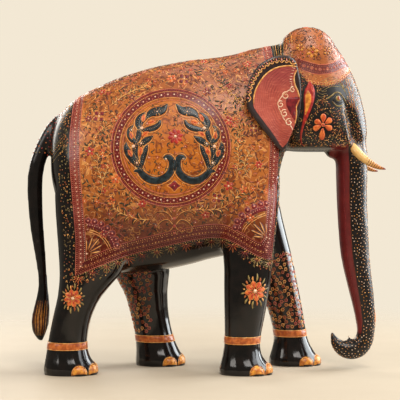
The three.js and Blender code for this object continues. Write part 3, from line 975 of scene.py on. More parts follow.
def enamel(colour):
    """Raised paint of one colour, slightly uneven in shade and gloss, and darkened low on the cloth as
    painted shade.
    """
    light, dark = SHADES[colour]
    g = Graph(colour + "_enamel")
    x, _, z = g.axes()
    shade = g.mix(g.rise(g.noise(4, 3), 0.35, 0.65), dark, light)
    # painted shade: raised paint low on the cloth is darkened, gilt and cream only a little
    low = g.math("MULTIPLY", g.band(z, 128, 174, 20), g.rise(x, 122, 116))
    painted_shade_tint = (dark[0] * 0.45, dark[1] * 0.3, dark[2] * 0.3, 1)
    shade = g.mix(g.math("MULTIPLY", low, 0.1 if colour in ("gilt", "cream") else 0.55), shade, painted_shade_tint)
    rough = g.math("MULTIPLY_ADD", g.noise(2.5, 2), 0.2, 0.22)
    return g.finish(shade, rough, g.bump(g.noise(0.8, 2), 0.05, 0.4))


def pot(region, colour):
    """The raised paint of one colour on one region."""
    key = region + "_" + colour
    if key not in POTS:
        if colour not in ENAMELS:
            ENAMELS[colour] = enamel(colour)
        POTS[key] = Paint(key, ENAMELS[colour], region + "_paint")
    return POTS[key]


# ---------------------------------------------------------------- the saddle cloth

def edge_of(run):
    """The x of an upright run of the cloth's outline at any height."""
    rows = sorted((z, x) for x, z in run)
    return lambda z: float(np.interp(z, [r[0] for r in rows], [r[1] for r in rows]))


MIDDLE_Z = 235  # height of the torso's axis
BELT_STEP = 1.6


def belt(ground, edge, z_low):
    """Spots from the right side's lower corner over the back to the left one, along x = edge(z)."""
    heights = np.arange(z_low, MIDDLE_Z, BELT_STEP)
    right, left = side_canvas(ground, RIGHT), side_canvas(ground, LEFT)
    spots = [right(edge(z), z) for z in heights]
    for angle in np.arange(-90, 90.1, 1.0):
        out = Vector((0, math.sin(math.radians(angle)), math.cos(math.radians(angle))))
        x = edge(MIDDLE_Z)
        for _ in range(3):
            spot = ground.along(Vector((x, 0, MIDDLE_Z)) + out * 200, -out)
            x = edge(spot[0].z)
        spots.append(spot)
    return spots + [left(edge(z), z) for z in heights[::-1]]


def paint_belt(cloth, which, share_lines, share_beads):
    """One upright border of the cloth: lines at some shares of its width and beads between them."""
    for share, width in share_lines:
        run = cloth_runs(share)[which]
        spots = belt(cloth.ground, edge_of(run), min(z for _, z in run))
        cloth.ribbon("rose", spots, [width] * len(spots), 0.32)
    for share, gap, colour, radius in share_beads:
        run = cloth_runs(share)[which]
        spots = belt(cloth.ground, edge_of(run), min(z for _, z in run) + 1)
        for spot in along_spots(spots, gap):
            cloth.bead(colour, spot, radius)
            if gap > 4:
                cloth.hoop("rose", spot, 1.8, 0.6, 0.4)


def paint_borders(ground):
    lines = ((0.03, 1.0), (0.26, 0.6), (0.74, 0.6), (0.98, 1.0))
    beads = ((0.5, 4.4, "cream", 0.8), (0.38, 2.2, "rose", 0.6), (0.62, 2.2, "rose", 0.6),
             (0.145, 2.1, "rose", 0.55), (0.86, 2.2, "cream", 0.45))
    for which in (0, 2):
        paint_belt(Brush("cloth", ground), which, lines, beads)
    for side in (RIGHT, LEFT):
        cloth = Brush("cloth", ground, side_canvas(ground, side))
        for share, width in ((0.03, 0.9), (0.3, 0.45), (0.99, 0.9)):
            cloth.stroke("rose", cloth_runs(share)[1], width, "line")
        for share, gap, colour, radius in ((0.16, 2.4, "copper", 0.45), (0.42, 3.4, "gilt", 0.6),
                                           (0.86, 2.4, "gilt", 0.5)):
            for spot in along_spots(cloth.spots(cloth_runs(share)[1]), gap):
                cloth.bead(colour, spot, radius)
        for spot in along_spots(cloth.spots(cloth_runs(0.42)[1]), 6.8)[1:-1]:
            cloth.hoop("copper", spot, 1.7)
        arch = [(-2.6, 0), (-1.6, -2.1 * side), (0, -2.8 * side), (1.6, -2.1 * side), (2.6, 0)]
        for spot in along_spots(cloth.spots(cloth_runs(0.64)[1]), 5.4)[2:-2]:
            local = cloth.at(spot)
            local.stroke("copper", arch, 0.5, "line", 0.3, 1.2)
            local.dot("gilt", 0, -0.9 * side, 0.55)


def paint_medallion_ring(cloth):
    outer, second, third, inner = MEDALLION_LINES
    lines = [(outer, 1.0, "rose", 0.3), (second, 0.7, "gilt", 0.3), (third, 0.7, "gilt", 0.3),
             (inner, 0.9, "rose", 0.3)]
    lines += [(radius, 0.7, "umber", 0.2)
              for radius in (outer + 1.1, outer - 1.0, third - 0.9, inner + 1.0, inner - 1.0)]
    for radius, width, colour, height in lines:
        cloth.stroke(colour, ring_of(radius, 40, centre=MEDALLION), width, "even", height, closed=True)
    middle = (second + third) / 2
    count = 2 * round(math.pi * middle / 3.4)
    for k in range(count):
        angle = 2 * math.pi * k / count
        if k % 2:
            cloth.dot("cream", *polar(MEDALLION, angle, middle), 0.95)
            continue
        for shift in (-1.7, 1.7):
            cloth.dot("rose", *polar(MEDALLION, angle, middle + shift), 0.6)
    for k in range(2 * count):
        cloth.dot("scarlet", *polar(MEDALLION, math.pi * k / count, (outer + second) / 2), 0.5)


# One bird of the medallion, as brush strokes from the medallion's centre: u, v, width.
BIRD_NECK = [(-7, -13, 4.5), (-3, -10.6, 6.5), (1, -14, 7.5), (1.5, -21.5, 8.3), (-1, -28, 8.6),
             (-6, -32.7, 9),
             (-13, -35.6, 9), (-20.5, -35, 9), (-27.5, -31, 8.5), (-33, -25.5, 6.5), (-38.5, -26, 1.5)]
BIRD_VINE = [(-30, -26, 6), (-35.5, -15.5, 6.5), (-37.5, -6.5, 7), (-36.5, 3.5, 7), (-34, 11, 6.5),
             (-33, 18.5, 6), (-31, 26, 5.5), (-24.5, 32, 3.5)]
BIRD_LEAVES = [
    [(-31.5, 17.5, 3), (-24.5, 18.5, 6.5), (-17, 20.5, 7.5), (-12.5, 24, 5.5), (-11, 28.5, 2)],
    [(-25.5, 31, 3), (-21, 36, 9.5), (-15, 38, 12.5), (-9, 39.5, 10), (-3.5, 46, 1.2)],
    [(-32, 18, 3.5), (-35, 24.5, 6.5), (-33, 31.5, 6.5), (-27.5, 37, 1.5)],
    [(-33, 1, 4.5), (-27.5, 5.5, 7.5), (-23, 8.5, 6.5), (-18.5, 11.5, 1.2)],
    [(-35.5, 3, 3), (-40.5, 7.5, 6.5), (-43.5, 13.5, 7), (-42.5, 19.5, 5), (-39.5, 23, 1.2)],
    [(-32, -23, 4.5), (-39, -14.5, 8), (-44.5, -6.5, 8.5), (-47, 0.5, 5.5), (-46.5, 5, 1.2)],
    [(-31.5, -23, 4), (-29.5, -14.5, 6), (-27.5, -7, 6.5), (-25.5, -1, 4.5), (-24.5, 2.5, 1.2)],
]
BIRD_PETALS = [(-31.5, -5, 78), (-42.5, -7, 118), (-41.5, 12, 100), (-29, 30.5, 80), (-21, 26, 15),
               (-27, 13.5, 35)]
BIRD_PEARLS = [(-30.5, 20, 2.1), (-39, 0.5, 2.0), (-31, 3.5, 1.3), (-35.5, -17, 1.3), (-25, 25, 1),
               (-41.5, 18, 1)]
MIRROR_U = 4.4  # the second bird is the first one mirrored about this u


def outline_of(path, grow=0.0):
    """The closed outline of a stroke whose third column is its width."""
    line = curve(path, 1.6)
    sides = ([], [])
    for i, row in enumerate(line):
        ahead = line[min(i + 1, len(line) - 1)] - line[max(i - 1, 0)]
        length = max(float(np.hypot(ahead[0], ahead[1])), 1e-6)
        half = row[2] / 2 + grow
        normal = (-ahead[1] / length, ahead[0] / length)
        sides[0].append((row[0] + normal[0] * half, row[1] + normal[1] * half))
        sides[1].append((row[0] - normal[0] * half, row[1] - normal[1] * half))
    return sides[0] + sides[1][::-1]


def bird_points(points, flip):
    """Points of a bird's stroke on the cloth; the mirrored bird leans in towards the first one."""
    x, z = MEDALLION
    if not flip:
        return [(x + p[0], z + p[1], *p[2:]) for p in points]
    return [(x + 2 * MIRROR_U - p[0] - 0.11 * max(p[1] + 15, 0), z + p[1], *p[2:]) for p in points]


def paint_bird(cloth, flip):
    def to_side(points):
        return bird_points(points, flip)

    def spot_of(u, v):
        return bird_points([(u, v)], flip)[0]

    for path in [BIRD_VINE, *BIRD_LEAVES, BIRD_NECK]:
        shape = to_side(path)
        rise = 0.24 if path is BIRD_VINE else 0.34
        cloth.stroke("teal", shape, 1, "given", rise, 1.3, bend=True)
        cloth.stroke("gilt", outline_of(shape, 0.4), 0.8, "even", rise + 0.06, 1.6, closed=True)
        cloth.stroke("umber", outline_of(shape, 1.1), 0.7, "even", rise - 0.08, 1.6, closed=True)
    quills = curve(BIRD_NECK, 2.4)
    for i in range(1, len(quills) - 1):
        u, v, width = quills[i]
        ahead = quills[i + 1] - quills[i - 1]
        ahead = ahead[:2] / max(np.hypot(*ahead[:2]), 1e-6)
        for share in (-0.28, 0.02, 0.3):
            at = (u - ahead[1] * width * share, v + ahead[0] * width * share)
            end = (at[0] + ahead[0] * 1.3, at[1] + ahead[1] * 1.3)
            cloth.stroke("steel", to_side([at, end]), 0.38, "even", 0.5, 0.7)
    for path in [BIRD_VINE, *BIRD_LEAVES]:
        for row in curve([p[:2] for p in path], 2.2)[1:-1]:
            cloth.dot("cream", *spot_of(*row), 0.32, 0.5)
    for u, v, degrees in BIRD_PETALS:
        angle = math.radians(degrees)
        foot, tip = polar((u, v), angle, -4.2), polar((u, v), angle, 4.6)
        for lean in (-1, 1):
            petal = [foot, polar((u, v), angle, 0, 1.3 * lean), tip]
            cloth.stroke("orange", to_side(petal), 3.6, "leaf", 0.55, 1.2)
            edge = [foot, polar((u, v), angle, 0, 2.7 * lean), tip]
            cloth.stroke("gilt", to_side(edge), 0.6, "line", 0.6, 1.2)
        vein = [polar((u, v), angle, -3.6), polar((u, v), angle, 2.6)]
        cloth.stroke("scarlet", to_side(vein), 1.1, "leaf", 0.75, 1.2)
    for u, v, radius in BIRD_PEARLS:
        pearl = spot_of(u, v)
        for at in ring_of(radius + 1.1, 7, centre=pearl):
            cloth.dot("gilt", *at, 0.6)
        cloth.dot("cream", *pearl, radius, 0.7)
    cloth.flower("amber", "cream", spot_of(-14.5, 37.8), 4.8, 7)
    eye = spot_of(-5, -12.8)
    cloth.dot("cream", *eye, 1.25, 0.6)
    cloth.dot("soot", *eye, 0.5, 0.95)


MEDALLION_FLOWER = (MEDALLION[0] + 5, MEDALLION[1] + 11)
MEDALLION_DIAMOND = (MEDALLION[0] + 4, MEDALLION[1] - 41)


def paint_medallion(cloth):
    paint_medallion_ring(cloth)
    for flip in (False, True):
        paint_bird(cloth, flip)
    centre = MEDALLION_FLOWER
    cloth.flower("scarlet", "cream", centre, 8.2, 8, 0.2, 0.6, bend=True)
    cloth.flower("rose", "cream", centre, 4.6, 8, 0.6, 0.6)
    for k in range(4):
        angle = math.radians(45 + 90 * k)
        cloth.stroke("leaf", [polar(centre, angle, 8), polar(centre, angle, 12)], 1.5, "leaf", 0.3, 1)
    x, z = MEDALLION_DIAMOND
    diamond = [(-7.6, 0), (-3.6, 2.6), (0, 6.2), (3.6, 2.6), (7.6, 0), (3.6, -2.8), (0, -6.4), (-3.6, -2.8)]
    diamond = [(x + u, z + v) for u, v in diamond]
    cloth.patch("maroon", diamond)
    cloth.stroke("gilt", diamond, 0.7, "even", 0.34, 1.4, closed=True)
    cloth.flower("scarlet", "cream", MEDALLION_DIAMOND, 3.4, 6)


# ---------------------------------------------------------------- flowers and sprigs over the cloth's field

def sprig(cloth, spot, rng):
    """A leafy twig of the field with a blossom at its end."""
    cloth = cloth.turned(spot, rng)
    length = rng.uniform(13, 18)
    stem = rng.choice(("gilt", "rose", "umber"))
    leaf, leaves = rng.choice(("leaf", "umber")), rng.choice((5, 6))
    cloth.twig(stem, leaf, length, leaves, rng, rng.uniform(0.15, 0.35), 5.6)
    tip = curl((length / 2 + 1, -2.6), 2.8, math.pi * 0.6, -0.8, 0.3)
    cloth.stroke(stem, tip, 0.8, "comma", 0.3, 1.2)
    petal, heart = rng.choice((("scarlet", "gilt"), ("orange", "cream"), ("rose", "gilt"),
                               ("amber", "maroon")))
    centre = (-length / 2 - 1, 0)
    cloth.flower(petal, heart, centre, rng.uniform(2.4, 3.6), rng.choice((5, 6)),
           rng.uniform(0, 1))


def blossom(cloth, spot, rng):
    """A larger red flower with leaves round it."""
    cloth = cloth.turned(spot, rng)
    radius = rng.uniform(4.2, 5.6)
    cloth.flower(rng.choice(("scarlet", "maroon", "orange")), "cream", (0, 0), radius, rng.choice((5, 6)),
                 edge="gilt", bend=True)
    for k in range(6):
        angle = 2 * math.pi * (k + 0.5) / 6
        path = [polar((0, 0), angle, radius), polar((0, 0), angle, radius + 2, 0.8),
                polar((0, 0), angle, radius + 4)]
        cloth.stroke("leaf", path, 1.5, "leaf", 0.3, 1.3)


def filling(cloth, spot, rng):
    """A small mark between the sprigs: a curl, a leaf pair or a dotted star."""
    cloth = cloth.turned(spot, rng)
    kind = rng.random()
    if kind < 0.55:
        colour = rng.choice(("gilt", "umber", "umber", "rose"))
        turn = rng.choice((-1, 1))
        radius = rng.uniform(1.8, 3.0)
        cloth.stroke(colour, curl((0, 0), radius, 0, 0.9 * turn), 0.85, "comma", 0.34, 1.0)
        shade = curl((0, 0), radius + 0.9, 0.3, 0.55 * turn, 0.7)
        cloth.stroke("umber", shade, 0.8, "comma", 0.26, 1.2)
    elif kind < 0.85:
        for lean in (-0.5, 0.5):
            c, s = math.cos(lean), math.sin(lean)
            cloth.stroke("leaf", [(0, 0), (1.9 * c, 1.9 * s + 0.3), (3.8 * c, 3.8 * s)], 1.6,
                   "leaf", 0.34, 1.1)
    else:
        cloth.dot("cream", 0, 0, 0.6)
        for at in ring_of(1.6, 5):
            cloth.dot(rng.choice(("scarlet", "rose")), *at, 0.6)


MEDALLION_CLEAR = 66
SPRIG_GAP, BLOSSOM_GAP, FILLING_GAP = 13, 36, 5.6


def spots_where(ground, mask, gap, seed, most):
    """Evenly scattered spots among the vertices that a mask picks."""
    chosen = np.flatnonzero(mask)
    chosen = chosen[np.random.default_rng(seed).permutation(len(chosen))[:most]]
    picked = chosen[scatter(ground.points[chosen], gap, seed)]
    return [(Vector(ground.points[i]), Vector(ground.normals[i])) for i in picked]


def far_from(points, centres, radius):
    clear = np.ones(len(points), bool)
    for a, b in centres:
        clear &= np.hypot(points[:, 0] - a, points[:, 2] - b) > radius
    return clear


# Long branches of the field: stem from its root to its blossom, in x and z, and the size of their leaves.
SPRAYS = [
    ([(-57.5, 165.2), (-66, 165.2), (-75, 166.7), (-87, 171.2), (-95, 177), (-98, 184)], 7.2),
    ([(-20.7, 174.3), (-8, 175.5), (4, 175.2), (16, 176.5), (26, 182), (34, 189.5), (41, 197)], 7.2),
    ([(-108.5, 192.5), (-107.5, 202), (-109.5, 211), (-112.6, 221), (-112, 230), (-108, 236)], 5.6),
    ([(-107.8, 204), (-104.5, 213), (-102, 221)], 4.6),
    ([(-117.5, 243), (-114.5, 254), (-107, 262.5), (-97, 270.5)], 5),
    ([(47, 209), (43, 217), (42.5, 226), (46, 234), (50.5, 241)], 5.4),
    ([(33, 212), (36, 226), (35, 240), (38, 254), (33, 270)], 5.6),
    ([(-100, 287), (-88, 297), (-74, 304), (-60, 309)], 5.4),
    ([(14, 309), (26, 302), (36, 292), (44, 280)], 5.2),
]
STAR_FLOWERS = [((-112.6, 275), 8), ((-22, 316), 7.5), ((12.7, 187.5), 6.5), ((52, 262), 6)]


def spray(cloth, stem, size, rng):
    """A branch with curved leaves on both sides and a blossom at its end."""
    cloth.stroke("umber", [(a + 0.5, b - 0.8) for a, b in stem], 1.5, "line", 0.2)
    cloth.stroke("gilt", stem, 1.1, "line", 0.36)
    line = curve(stem, size * 0.52)
    for number in range(1, len(line) - 1):
        a, b = line[number]
        ahead = line[number + 1] - line[number - 1]
        heading = math.atan2(ahead[1], ahead[0])
        side = 1 if number % 2 else -1
        lean = heading + side * rng.uniform(0.6, 1.1)
        reach = size * rng.uniform(0.8, 1.1)
        bow = polar((a, b), lean, reach * 0.5, -side * reach * 0.16)
        tip = polar((a, b), lean, reach)
        beyond = polar((a, b), lean, reach * 1.14)
        cloth.stroke("leaf", [(a, b), bow, beyond], reach * 0.56, "leaf", 0.3, reach / 4)
        cloth.stroke("gilt", [(a, b), bow, tip], reach * 0.3, "leaf", 0.5, reach / 4)
        cloth.stroke("umber", [(a, b), bow], 0.5, "leaf", 0.62, reach / 4)
    cloth.flower("orange", "gilt", stem[-1], size * 0.62, 5, 0.5, 0.8, "umber", True)


def star_flower(cloth, centre, radius):
    """Four maroon diamonds edged with gold."""
    half = radius * 0.42
    for k in range(4):
        angle = math.radians(40 + 90 * k)
        kite = [polar(centre, angle, radius * reach, across)
                for reach, across in ((0.12, 0), (0.55, half), (1, 0), (0.55, -half))]
        cloth.patch("maroon", kite, 0.3, 1.6)
        cloth.stroke("gilt", [*kite, kite[0]], 0.6, "even", 0.36, 1.6)
    cloth.dot("cream", *centre, radius * 0.16)


# Corner ornaments of the field: scalloped edge, inner arc, and the corner they spread from.
CORNERS = [
    ([(-123, 163.5), (-116, 162.5), (-109, 160), (-102.5, 156), (-97.5, 150.5), (-94, 144), (-92.5, 137.5)],
     [(-124, 154.5), (-117, 153), (-108.5, 148.5), (-102, 141), (-98.5, 133.5)], (-124, 129)),
    ([(65.5, 182), (59.5, 181.5), (52.5, 179), (45.5, 175), (39, 169.5), (34.5, 163), (32.5, 156.5)],
     [(65, 172), (56, 168.5), (47.5, 163), (41.5, 156.5), (39, 151)], (65.5, 146)),
]


def paint_corner(cloth, scallops, arc, corner):
    """A quarter of a rosette: a scalloped band, two arcs and five leaves that open from the corner."""
    inner = curve(arc, 4)
    pairs = zip(curve(scallops, 100), [inner[round(k * (len(inner) - 1) / 6)] for k in range(7)])
    middle = [tuple(np.array(a) * 0.55 + np.array(b) * 0.45) for a, b in pairs]
    cloth.stroke("maroon", middle, 7.5, "even", 0.22, 1.6, bend=True)
    for a, b in scallops:
        cloth.dot("maroon", a, b, 3.4, 0.34)
        cloth.stroke("rose", ring_of(3.5, 9, centre=(a, b)), 0.9, "even", 0.42, 1.4, closed=True)
        cloth.dot("rose", a, b, 1.3, 0.6)
        cloth.dot("cream", a, b, 0.6, 0.8)
    for spot in along_spots(cloth.spots(middle, 1.5), 2.6):
        cloth.bead("cream", spot, 0.5)
    for shift in (0, 2.2):
        inward = [np.array(corner) - p for p in arc]
        toward = [tuple(np.array(p) + way / np.linalg.norm(way) * shift) for p, way in zip(arc, inward)]
        cloth.stroke("gilt", toward, 0.9, "line", 0.36)
    aim = math.atan2(np.mean([b for _, b in arc]) - corner[1], np.mean([a for a, _ in arc]) - corner[0])
    for k, reach in ((-2, 15), (-1, 19), (0, 21), (1, 19), (2, 15)):
        c, s = math.cos(aim + 0.36 * k), math.sin(aim + 0.36 * k)
        leaf = [(corner[0] + c * reach * r, corner[1] + s * reach * r) for r in (0.25, 0.6, 0.95)]
        cloth.stroke("umber", leaf, 4.6, "leaf", 0.2, 1.5, bend=True)
        cloth.stroke("gilt", leaf, 2.6, "leaf", 0.42, 1.5)
        cloth.stroke("orange", leaf[:2], 1.0, "leaf", 0.6, 1.5)
    cloth.dot("cream", *corner, 1.0)


SCROLL_X = -32  # middle line of the scrollwork below the medallion
SCROLLS = [
    [(-2, 160), (-6, 164.5), (-11, 164.5), (-16, 161), (-19, 156), (-17, 151.5), (-13, 152.5),
     (-13.5, 156.5), (-16, 156)],
    [(-2, 166), (-6, 171), (-11, 173.5), (-17, 173.5), (-21, 170.5), (-19.5, 167)],
    [(-1, 158), (-4, 154), (-8.5, 152), (-11.5, 154)],
    [(-3, 172), (-5.5, 176), (-10, 178.5)],
]


def paint_scrollwork(cloth):
    """Acanthus scrolls in mirrored pairs below the medallion."""
    for path in SCROLLS:
        for mirror in (1, -1):
            line = [(SCROLL_X + a * mirror, b) for a, b in path]
            cloth.stroke("umber", [(a, b - 0.8) for a, b in line], 1.6, "line", 0.2)
            cloth.stroke("gilt", line, 1.2, "comma", 0.42)
            for a, b in line[1:-1]:
                cloth.stroke("copper", [(a, b), (a - 1.3 * mirror, b + 3.0)], 1.5, "leaf", 0.36, 1.2)
    for z, radius in ((166, 1.7), (158, 2.1), (150.5, 1.5), (174, 1.3)):
        cloth.dot("rose", SCROLL_X, z, radius, 0.8)


def near_paths(points, paths, radius):
    """Which points lie near any of the paths, seen from the side."""
    close = np.zeros(len(points), bool)
    for path in paths:
        for a, b in curve(path, radius):
            close |= np.hypot(points[:, 0] - a, points[:, 2] - b) < radius
    return close


def paint_field(ground, field):
    """Branches, flowers, corner ornaments and scrolls, then sprigs and small marks in the room left."""
    rng = random.Random(5)
    for side in (RIGHT, LEFT):
        cloth = Brush("cloth", ground, side_canvas(ground, side))
        for stem, size in SPRAYS:
            spray(cloth, stem, size, rng)
        for centre, radius in STAR_FLOWERS:
            star_flower(cloth, centre, radius)
        for corner in CORNERS:
            paint_corner(cloth, *corner)
        paint_scrollwork(cloth)
    p = ground.points
    on_sides = p[:, 2] < 318
    taken = far_from(p, [MEDALLION], MEDALLION_CLEAR)
    taken &= ~(near_paths(p, [stem for stem, _ in SPRAYS], 6) & on_sides)
    taken &= far_from(p, [centre for centre, _ in STAR_FLOWERS], 9) | ~on_sides
    taken &= ~near_paths(p, [scallops for scallops, _, _ in CORNERS], 7)
    taken &= far_from(p, [corner for _, _, corner in CORNERS], 26)
    taken &= ~((np.abs(p[:, 0] - SCROLL_X) < 24) & (p[:, 2] < 180))
    blossoms = spots_where(ground, taken & (field > 8), BLOSSOM_GAP, 3, 2500)
    for spot in blossoms:
        blossom(cloth, spot, rng)
    for spot in spots_where(ground, taken & (field > 7), SPRIG_GAP, 4, 9000):
        if all((spot[0] - other[0]).length > 11 for other in blossoms):
            sprig(cloth, spot, rng)
    loose = (field > 1.8) & far_from(p, [MEDALLION], MEDALLION_CLEAR - 1)
    loose &= far_from(p, [corner for _, _, corner in CORNERS], 24)
    for spot in spots_where(ground, loose, FILLING_GAP, 6, 20000):
        filling(cloth, spot, rng)
    # the medallion's gold ground, clear of the birds, the flower and the diamond
    birds = [[q[:2] for q in bird_points(path, flip)] for path in (BIRD_VINE, BIRD_NECK, *BIRD_LEAVES)
             for flip in (False, True)]
    heart = ~far_from(p, [MEDALLION], MEDALLION_LINES[3] - 3) & ~near_paths(p, birds, 6)
    heart &= far_from(p, [MEDALLION_FLOWER], 11) & far_from(p, [MEDALLION_DIAMOND], 9)
    for spot in spots_where(ground, heart, 5, 8, 8000):
        filling(cloth, spot, rng)


# ---------------------------------------------------------------- the head

HEAD_AXIS_X = 118


def halo(ground, line, first=-112, last=112):
    """Spots round the head at the heights that a line gives for each x; degrees from straight ahead."""
    xs, zs = zip(*line)
    spots = []
    for angle in np.arange(first, last + 0.1, 1.5):
        out = Vector((math.cos(math.radians(angle)), math.sin(math.radians(angle)), 0))
        z = float(np.mean(zs))
        for _ in range(4):
            spot = ground.along(Vector((HEAD_AXIS_X, 0, z)) + out * 120, -out)
            z = float(np.interp(spot[0].x, xs, zs))
        spots.append(spot)
    return spots


def paint_cap(face, cap):
    """The gilt cap: its two bands, scalloped edge and scrolls."""
    ground = face.ground
    for line in CAP_LINES:
        spots = halo(ground, line)
        face.ribbon("rose", spots, [1.0] * len(spots), 0.35)
    between = [((a + c) / 2, (b + d) / 2) for (a, b), (c, d) in zip(*CAP_LINES)]
    for number, spot in enumerate(along_spots(halo(ground, between), 4.6)):
        if number % 2:
            face.at(spot, 0.4 * number).flower("rose", "gilt", radius=2.1)
        else:
            face.hoop("scarlet", spot, 1.5)
            face.bead("gilt", spot, 0.6)
    for shift in (-3.4, 3.4):
        for spot in along_spots(halo(ground, [(x, z + shift) for x, z in between]), 2.2):
            face.bead("rose", spot, 0.42)
    edge = [(x, z) for x, z in CAP_EDGE if x > 100]
    for spot in along_spots(halo(ground, [(x, z + 1.6) for x, z in edge]), 4.2):
        face.hoop("gilt", spot, 1.7, 0.7)
        face.bead("scarlet", spot, 0.7)
    for spot in along_spots(halo(ground, [(x, z - 1.2) for x, z in edge]), 2.1):
        face.bead("rose", spot, 0.5)
    # scrolls over the dome
    rng = random.Random(21)
    above = (cap > 14) & (ground.points[:, 0] > NECK_X + 4) & (ground.points[:, 2] > 338)
    for spot in spots_where(ground, above, 5.2, 22, 5000):
        local = face.turned(spot, rng)
        colour = rng.choice(("umber", "rose", "umber", "umber"))
        radius = rng.uniform(2.4, 3.6)
        local.stroke(colour, curl((0, 0), radius, 0, rng.choice((-1.1, 1.1))), 1.0, "line", 0.4, 1.0)
        for lean in (0.3, 1.0):
            tip = polar((radius, 0), lean, 2.6)
            local.stroke(rng.choice(("leaf", "umber")), [(radius, 0), tip], 1.3, "leaf", 0.3, 1)
    lower = (cap > 1.5) & (cap < 10) & (ground.points[:, 0] > NECK_X + 14) & (ground.points[:, 2] < 330)
    for spot in spots_where(ground, lower, 4.4, 24, 3000):
        local = face.turned(spot, rng)
        colour = rng.choice(("gilt", "scarlet", "umber"))
        local.stroke(colour, curl((0, 0), 1.5, 0, 1), 0.55, "line", 0.3, 0.9)


CAP_FLOWERS = [((116, 345), 6.8, 0.3), ((132, 347), 4.6, 0.9), ((103, 350), 4.4, 0.1)]


def paint_cap_flowers(face):
    for centre, radius, turn in CAP_FLOWERS:
        face.flower("amber", "scarlet", centre, radius, 6, turn, 0.7, "umber", True)


FLAME = [(112.5, 313.5, 1), (113, 307, 9.5), (112.5, 300.5, 13.5), (111.5, 292.5, 12.5), (110.5, 284.5, 9),
         (108.5, 276, 5.5), (106, 268, 3.5), (104, 260, 2.6), (103.5, 252.5, 2), (104.5, 247, 1.4),
         (108, 244.5, 0.6)]
FLAME_HEART = [(110.5, 303, 2), (111, 298, 8.5), (110.8, 291, 8.5), (109.5, 284, 5.5), (107.5, 277, 1)]
# a rose streak near the top of the flame: a painted highlight
FLAME_PAINTED_HIGHLIGHT = [(114.5, 308, 1), (115, 304, 2.2), (116.2, 299, 1)]


def paint_flame(face):
    """The long flame in front of the ear, with a rose painted highlight near its top."""
    face.stroke("scarlet", FLAME, 1, "given", 0.5, 1.3, bend=True)
    face.stroke("amber", FLAME_HEART, 1, "given", 0.8, 1.3, bend=True)
    for lean in (-2.4, 0, 2.4):
        streak = [(x + lean * width / 8, z) for x, z, width in FLAME_HEART]
        face.stroke("orange", streak, 1.1, "leaf", 0.95, 1.3)
    # the painted highlight on the flame
    face.stroke("rose", FLAME_PAINTED_HIGHLIGHT, 1, "given", 0.7, 1.2)


EYE = (144, 295.5)
EYE_ALMOND = [(137.5, 293.5), (140, 298), (143.5, 300), (147.5, 298), (150.5, 292.5), (147, 290),
              (143, 289.8)]
UPPER_LID = [(130.5, 294), (136.5, 298), (141, 301.8), (145.5, 301.8), (149.5, 297.8), (154, 290.5)]
LOWER_LID = [(137, 292.5), (141.5, 288), (146.5, 287.4), (151.5, 290.5)]
BROW = [(126.5, 303), (134, 307), (140.5, 309.2), (148, 307.5), (152.5, 302.5), (155.5, 296)]


def paint_eye(face):
    face.patch("soot", curve(EYE_ALMOND, 1.2, closed=True), 0.25, 1.2)
    face.dot("olive", *EYE, 3.6, 1.1)
    face.dot("copper", EYE[0] + 0.3, EYE[1] + 0.2, 2.7, 1.3)
    face.dot("soot", EYE[0] + 0.3, EYE[1] + 0.2, 1.3, 1.5)
    # the small cream dot beside the pupil is a painted highlight
    face.dot("cream", EYE[0] - 0.6, EYE[1] + 1.2, 0.45, 1.7)
    for line, width in ((UPPER_LID, 1.9), (LOWER_LID, 1.5)):
        face.stroke("olive", line, width, "line", 0.8, 1.2)
    for number in range(5):
        lifted = [(x - 0.9 * number, z + 2.3 * number + 0.5 * math.sin(i * 2.2 + number))
                  for i, (x, z) in enumerate(BROW)]
        face.stroke("olive", lifted, 0.75, "line", 0.4, 1.3)
    for number in range(4):
        waves = [(121 + 2.6 * k, 304 - 3.2 * number + math.sin(1.9 * k + number) - 0.35 * k)
                 for k in range(5)]
        face.stroke("olive", waves, 0.7, "line", 0.35, 1.1)


CHEEK_FLOWER = (127, 266.5)
CHEEK_TIPS = [(127.5, 278.5), (136.5, 273), (137, 262), (125.8, 250.5), (116.5, 261.5), (118, 271)]


def paint_cheek_flower(face):
    cx, cz = CHEEK_FLOWER
    for x, z in CHEEK_TIPS:
        path = [(cx + (x - cx) * t, cz + (z - cz) * t) for t in (0.22, 0.6, 1)]
        face.stroke("orange", path, 7.2, "petal", 0.5, 1.3, bend=True)
        face.stroke("scarlet", [path[0], path[1]], 1.6, "leaf", 0.8, 1.2)
    face.dot("scarlet", cx, cz, 2.6, 0.7)
    for at in ring_of(1.6, 6, centre=CHEEK_FLOWER):
        face.dot("gilt", *at, 0.6, 1.1)


FOREHEAD_LINE = [(153, 325), (156.5, 316), (159.5, 305.5), (162, 296.5), (164, 284)]


